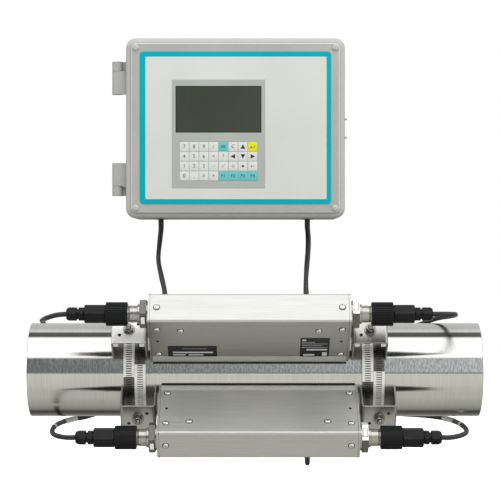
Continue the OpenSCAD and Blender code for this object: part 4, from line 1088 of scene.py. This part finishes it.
# The door's rounded edges are painted paler than its flats, most of all those of its raised front: a painted
# highlight
edge_highlight_grey, shader, pen = finish("edge_highlight_grey", shade(172, 172, 170), roughness=0.4, shine=0.5)
pebble = grain(pen, even, 1100, 2)
raised = coordinate(pen, "Y") < enclosure_front + raised_round
feed(shader,
     Base_Color=raised.mix(pebble.between((169, 169, 167), (177, 177, 175), 0.35),
                           pebble.between((190, 190, 188), (198, 198, 196), 0.35)),
     Roughness=0.32 + pebble * 0.14,
     Normal=bump(pen, pebble, 0.03, 0.5))
door = softened("door", rim_round, [moulded_grey, edge_highlight_grey], "front_door", "enclosure", door_rounding, 4)
# The broken edges take the painted highlight
door.modifiers["broken_edges"].material = 1

# A cord of foam rubber lies in the groove of the door's edge and seals it to the body. It
# is pressed in without glue and goes all the way round.
softened("door_gasket", 0.3 * mm, [rubber], "front_door", "rubber")

# The front is covered by a printed film: pale grey, with a turquoise band round it. The
# places for names on it are left bare.
band_left, band_right, band_bottom, band_top = sized(-136, 99.6, 213.8, 399)
band_inner_r = 1.5 * mm


def inside(pen, left, right, bottom, top, radius):
    """A mask for what lies in a rounded rectangle of the front, seen from the front."""
    dx = abs(coordinate(pen, "X") - (left + right) / 2) - ((right - left) / 2 - radius)
    dz = abs(coordinate(pen, "Z") - (bottom + top) / 2) - ((top - bottom) / 2 - radius)
    out_x, out_z = pen.sum("MAXIMUM", dx, 0), pen.sum("MAXIMUM", dz, 0)
    reach = pen.sum("SQRT", out_x * out_x + out_z * out_z)
    return reach + pen.sum("MINIMUM", pen.sum("MAXIMUM", dx, dz), 0) < radius


printed_film, shader, pen = finish("printed_film", shade(200, 204, 199), roughness=0.34, shine=0.1)
plain = inside(pen, band_left, band_right, band_bottom, band_top, band_inner_r)
fine, tint = grain(pen, even, 1800, 2), grain(pen, even, 9, 2)
feed(shader,
     Base_Color=plain.mix(tint.between((0, 157, 170), (0, 165, 178)),
                          tint.between((198, 201, 197), (204, 207, 202))),
     Roughness=0.3 + fine * 0.1,
     Normal=bump(pen, fine, 0.02, 0.35))
nodes["front_overlay"].material_slots[0].material = printed_film

# The keypad panel is a darker printed frame in the film. Behind it one board carries the
# display, under a clear window, and the block of key switches.
panel_x, panel_z = sized(-41, 298.5)
display_z, display_w, display_h = sized(330.5, 111.5, 60.5)
display_shadow_rim, lit_corner_r, module_front = sized(0.9, 0.5, 124)
panel_grey, shader, pen = finish("panel_grey", shade(162, 168, 164), roughness=0.4, shine=0.25)
fine, tint = grain(pen, even, 1500, 2), grain(pen, even, 12, 2)
feed(shader,
     Base_Color=tint.between((158, 164, 160), (167, 173, 168)),
     Roughness=0.36 + fine * 0.12,
     Normal=bump(pen, fine, 0.02, 0.35))
softened("keypad_panel", 0.2 * mm, [panel_grey], "front_door", "keypad_panel")

# The window's rim is painted dark: partly its dark bezel edge, partly a painted shadow of the recess it sits
# in
display_glass, shader, pen = finish("display_glass", shade(62, 67, 58), roughness=0.16, shine=0.3)
lit_half_w, lit_half_h = display_w / 2 - display_shadow_rim, display_h / 2 - display_shadow_rim
lit = inside(pen, panel_x - lit_half_w, panel_x + lit_half_w, display_z - lit_half_h,
             display_z + lit_half_h, lit_corner_r)
smear = grain(pen, (1, 1, 0.4), 14, 3)
feed(shader,
     Base_Color=lit.mix(shade(42, 46, 39), smear.between((57, 62, 53), (64, 70, 61))),
     Roughness=0.14 + smear * 0.12)
switch_foil = grained("switch_foil", (140, 146, 142), (158, 164, 160), 700)
module = softened("display_module", 0.2 * mm, [board_green, display_glass, switch_foil], "front_door",
                  "display")
for face in module.data.polygons:
    if face.center.y < module_front:
        face.material_index = 1 if face.center.z > panel_z else 2

# The back of that board, seen when the door is open, carries a few chips and two rows
# of contacts. They are soldered flat, as on the main board.
contact_pitch, contact_drop, contact_count = 2.54 * mm, 40 * mm, 12
back_y, away_from_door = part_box("display_module")[1][1], Vector((0, 1, 0))
chip = blocks([((-0.2 * mm, -4.5 * mm, -4.5 * mm), (1.6 * mm, 4.5 * mm, 4.5 * mm))], 0.3 * mm, segments=1)
chip_points = [
    (Vector((panel_x + x * mm, back_y, panel_z + z * mm)), away_from_door)
    for x, z in ((-30, 38), (-6, 38), (22, 38), (-30, 14), (30, 10), (-12, -12), (18, -20))]
set_on(chip_points, chip, "display_chips", chip_black, "front_door", "display")
contact = blocks([((-0.2 * mm, -1 * mm, -1 * mm), (3.2 * mm, 1 * mm, 1 * mm))])
contact_points = [
    (Vector((panel_x + across, back_y, panel_z - contact_drop - down)), away_from_door)
    for down in (0, contact_pitch) for across in spread(contact_count, contact_pitch)]
set_on(contact_points, contact, "display_contacts", bright_steel, "front_door", "display")

# Thirty-two keys stand proud of the panel on their switches. Each is a small moulded tile
# with a printed mark: digits, signs and arrows, and plain signs in place of words. A
# pale rubber grid fills the gaps between them.
key_front, ink_sheet, tile_round, tile_profile = 116.9 * mm, 0.04 * mm, 0.35 * mm, 0.6
digit_height, sign_height = sized(7, 6.2)
circle_radii, circle_sides = sized(1.3, 1.8), 24
key_rows = (
    "7 8 9 divide menu clear up enter", "4 5 6 multiply help left down right",
    "1 2 3 minus root control alternate back", "0 point equals plus f1 f2 f3 f4")
key_marks = {name: name for row in key_rows for name in row.split()}
key_marks.update({
    "divide": "/", "menu": "bars", "clear": "C", "enter": "return", "multiply": "×", "help": "?",
    "control": "ring", "alternate": "diamond", "back": "corner", "point": ".", "equals": "=", "plus": "+",
    "f1": "F1", "f2": "F2", "f3": "F3", "f4": "F4"})


def bar(left, right, low, high):
    return [(left, low), (right, low), (right, high), (left, high)]


# Strokes and filled shapes of the drawn marks, in mm from the key's middle
drawn_marks = {
    "up": [[(-3.1, -2.9), (3.1, -2.9), (0, 3.1)]],
    "down": [[(-3.1, 2.9), (0, -3.1), (3.1, 2.9)]],
    "left": [[(2.7, -3.1), (2.7, 3.1), (-3.3, 0)]],
    "right": [[(-2.7, -3.1), (3.3, 0), (-2.7, 3.1)]],
    "bars": [bar(-3, 3, y - 0.3, y + 0.3) for y in (-1.5, 0, 1.5)],
    "minus": [bar(-1.7, 1.7, -0.22, 0.22)],
    "return": [[(-3.2, -0.8), (-1.4, -2.1), (-1.4, 0.5)], bar(-1.4, 2.9, -1.05, -0.55),
               bar(2.4, 2.9, -0.55, 1.8)],
    "root": [[(-1.9, 0.1), (-1.5, 0.3), (-0.6, -1.5), (-0.6, -2.3)],
             [(-0.6, -2.3), (-0.6, -1.4), (0.6, 2.1), (0.9, 2.1)], bar(0.6, 2.3, 1.7, 2.1)],
    "diamond": [[(-1.9, 0), (0, -1.9), (1.9, 0), (0, 1.9)]],
    "corner": [[(-2.6, 0), (-1.1, -1.4), (-1.1, 1.4)], bar(-1.1, 2.4, -0.25, 0.25)],
}
key_slots = {name: "turquoise" for name in ("menu", "f1", "f2", "f3", "f4")}
key_slots["enter"] = "yellow"
key_plastic = {
    name: grained(f"key_{name}", low, high, 1600, dent=(0.02, 0.4), roughness=0.45, shine=0.2)
    for name, low, high in (("white", (200, 203, 199), (208, 210, 206)),
                            ("turquoise", (92, 178, 180), (102, 186, 188)),
                            ("yellow", (212, 206, 30), (220, 214, 44)))}
key_ink = grained("key_ink", (32, 34, 34), (50, 52, 52), 2500, shine=0.2)


def lettered(text, height):
    """A mark in the built-in face as flat geometry, its middle at the origin."""
    data = bpy.data.curves.new("mark", "FONT")
    data.body, data.size = text, height
    data.align_x, data.align_y = "CENTER", "CENTER"
    data.resolution_u = 3
    bm = bmesh.new()
    bm.from_mesh(settled(linked("mark", data)))
    return bm


def printed(mark):
    """A key's mark as a thin layer of ink that faces the reader, at the origin."""
    bm = bmesh.new()
    if mark in drawn_marks:
        for outline in drawn_marks[mark]:
            bm.faces.new([bm.verts.new((x * mm, y * mm, 0)) for x, y in outline])
    elif mark == "ring":
        angles = [k * math.tau / circle_sides for k in range(circle_sides)]
        inner, outer = [[bm.verts.new((radius * math.cos(angle), radius * math.sin(angle), 0))
                         for angle in angles] for radius in circle_radii]
        for k in range(circle_sides):
            bm.faces.new((inner[k - 1], inner[k], outer[k], outer[k - 1]))
    else:
        bm = lettered(mark, sign_height if len(mark) > 1 else digit_height)
    bmesh.ops.remove_doubles(bm, verts=bm.verts, dist=0.001 * mm)
    bmesh.ops.recalc_face_normals(bm, faces=bm.faces)
    made = bmesh.ops.extrude_face_region(bm, geom=bm.faces[:])
    raised = [item for item in made["geom"] if isinstance(item, bmesh.types.BMVert)]
    bmesh.ops.translate(bm, verts=raised, vec=(0, 0, ink_sheet))
    bm.transform(Matrix.Rotation(math.radians(90), 4, "X"))
    return bm


key_boxes = {name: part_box(f"key_{name}") for name in key_marks}
for name, (low, high) in key_boxes.items():
    bm = printed(key_marks[name])
    bm.transform(Matrix.Translation(((low[0] + high[0]) / 2, key_front, (low[2] + high[2]) / 2)))
    for face in bm.faces:
        face.material_index = 1
    ink = bpy.data.meshes.new("ink")
    bm.to_mesh(ink)
    bm.free()
    color = key_slots.get(name, "white")
    tile = blocks([(low, high)], tile_round, profile=tile_profile)
    tile.from_mesh(ink)
    piece(f"key_{name}_tile", tile, [key_plastic[color], key_ink], f"key_{name}_body", f"key_{color}",
          f"key_{name}")

bar_half, bar_front, bar_back, bar_sunk = sized(0.25, 117.15, 118.2, 0.02)
bars = []
for axis in (0, 2):
    places = sorted({round((low[axis] + high[axis]) / 2, 5) for low, high in key_boxes.values()})
    half_pitch = (places[1] - places[0]) / 2
    bars.append([places[0] - half_pitch] + [place + half_pitch for place in places])
grid = [((x - bar_half, bar_front, bars[1][0] - bar_half), (x + bar_half, bar_back, bars[1][-1] + bar_half))
        for x in bars[0]]
grid += [((bars[0][0] - bar_half, bar_front + bar_sunk, z - bar_half),
          (bars[0][-1] + bar_half, bar_back - bar_sunk, z + bar_half)) for z in bars[1]]
key_seal = grained("key_seal", (170, 176, 172), (182, 188, 184), 1200, shine=0.2)
piece("key_seal", blocks(grid), [key_seal], "front_door", "keypad_panel")

# Four plastic screws with domed heads hold the door shut at its corners. Each turns in
# the door's rim, and its plain shank reaches into the body.
dome_r, dome_h, dome_shank_r, dome_shank_end = sized(4.4, 2.4, 2.5, 18.2)
dome_dx, dome_dz = sized(129.875, 104.5)
pale_plastic = grained("pale_plastic", (171, 171, 169), (182, 182, 180), 900, 2, (0.24, 0.14))
angles = [math.radians(degrees) for degrees in range(20, 90, 10)]
dome = [(dome_h * math.sin(angle), dome_r * math.cos(angle) ** 0.6) for angle in angles]
bm = bmesh.new()
for x, z in [(side * dome_dx, level * dome_dz) for side in both for level in both]:
    spot = (enclosure_x + x, enclosure_front, enclosure_z + z)
    turned(bm, [(-dome_shank_end, dome_shank_r * 0.8), (-dome_shank_end + 0.5 * mm, dome_shank_r),
                (0, dome_shank_r), (0, dome_r)] + dome,
           Matrix.Translation(spot) @ Matrix.Rotation(-math.pi / 2, 4, "Z"))
piece("door_screw_domes", bm, [pale_plastic], "front_door", "enclosure", "door_screws")
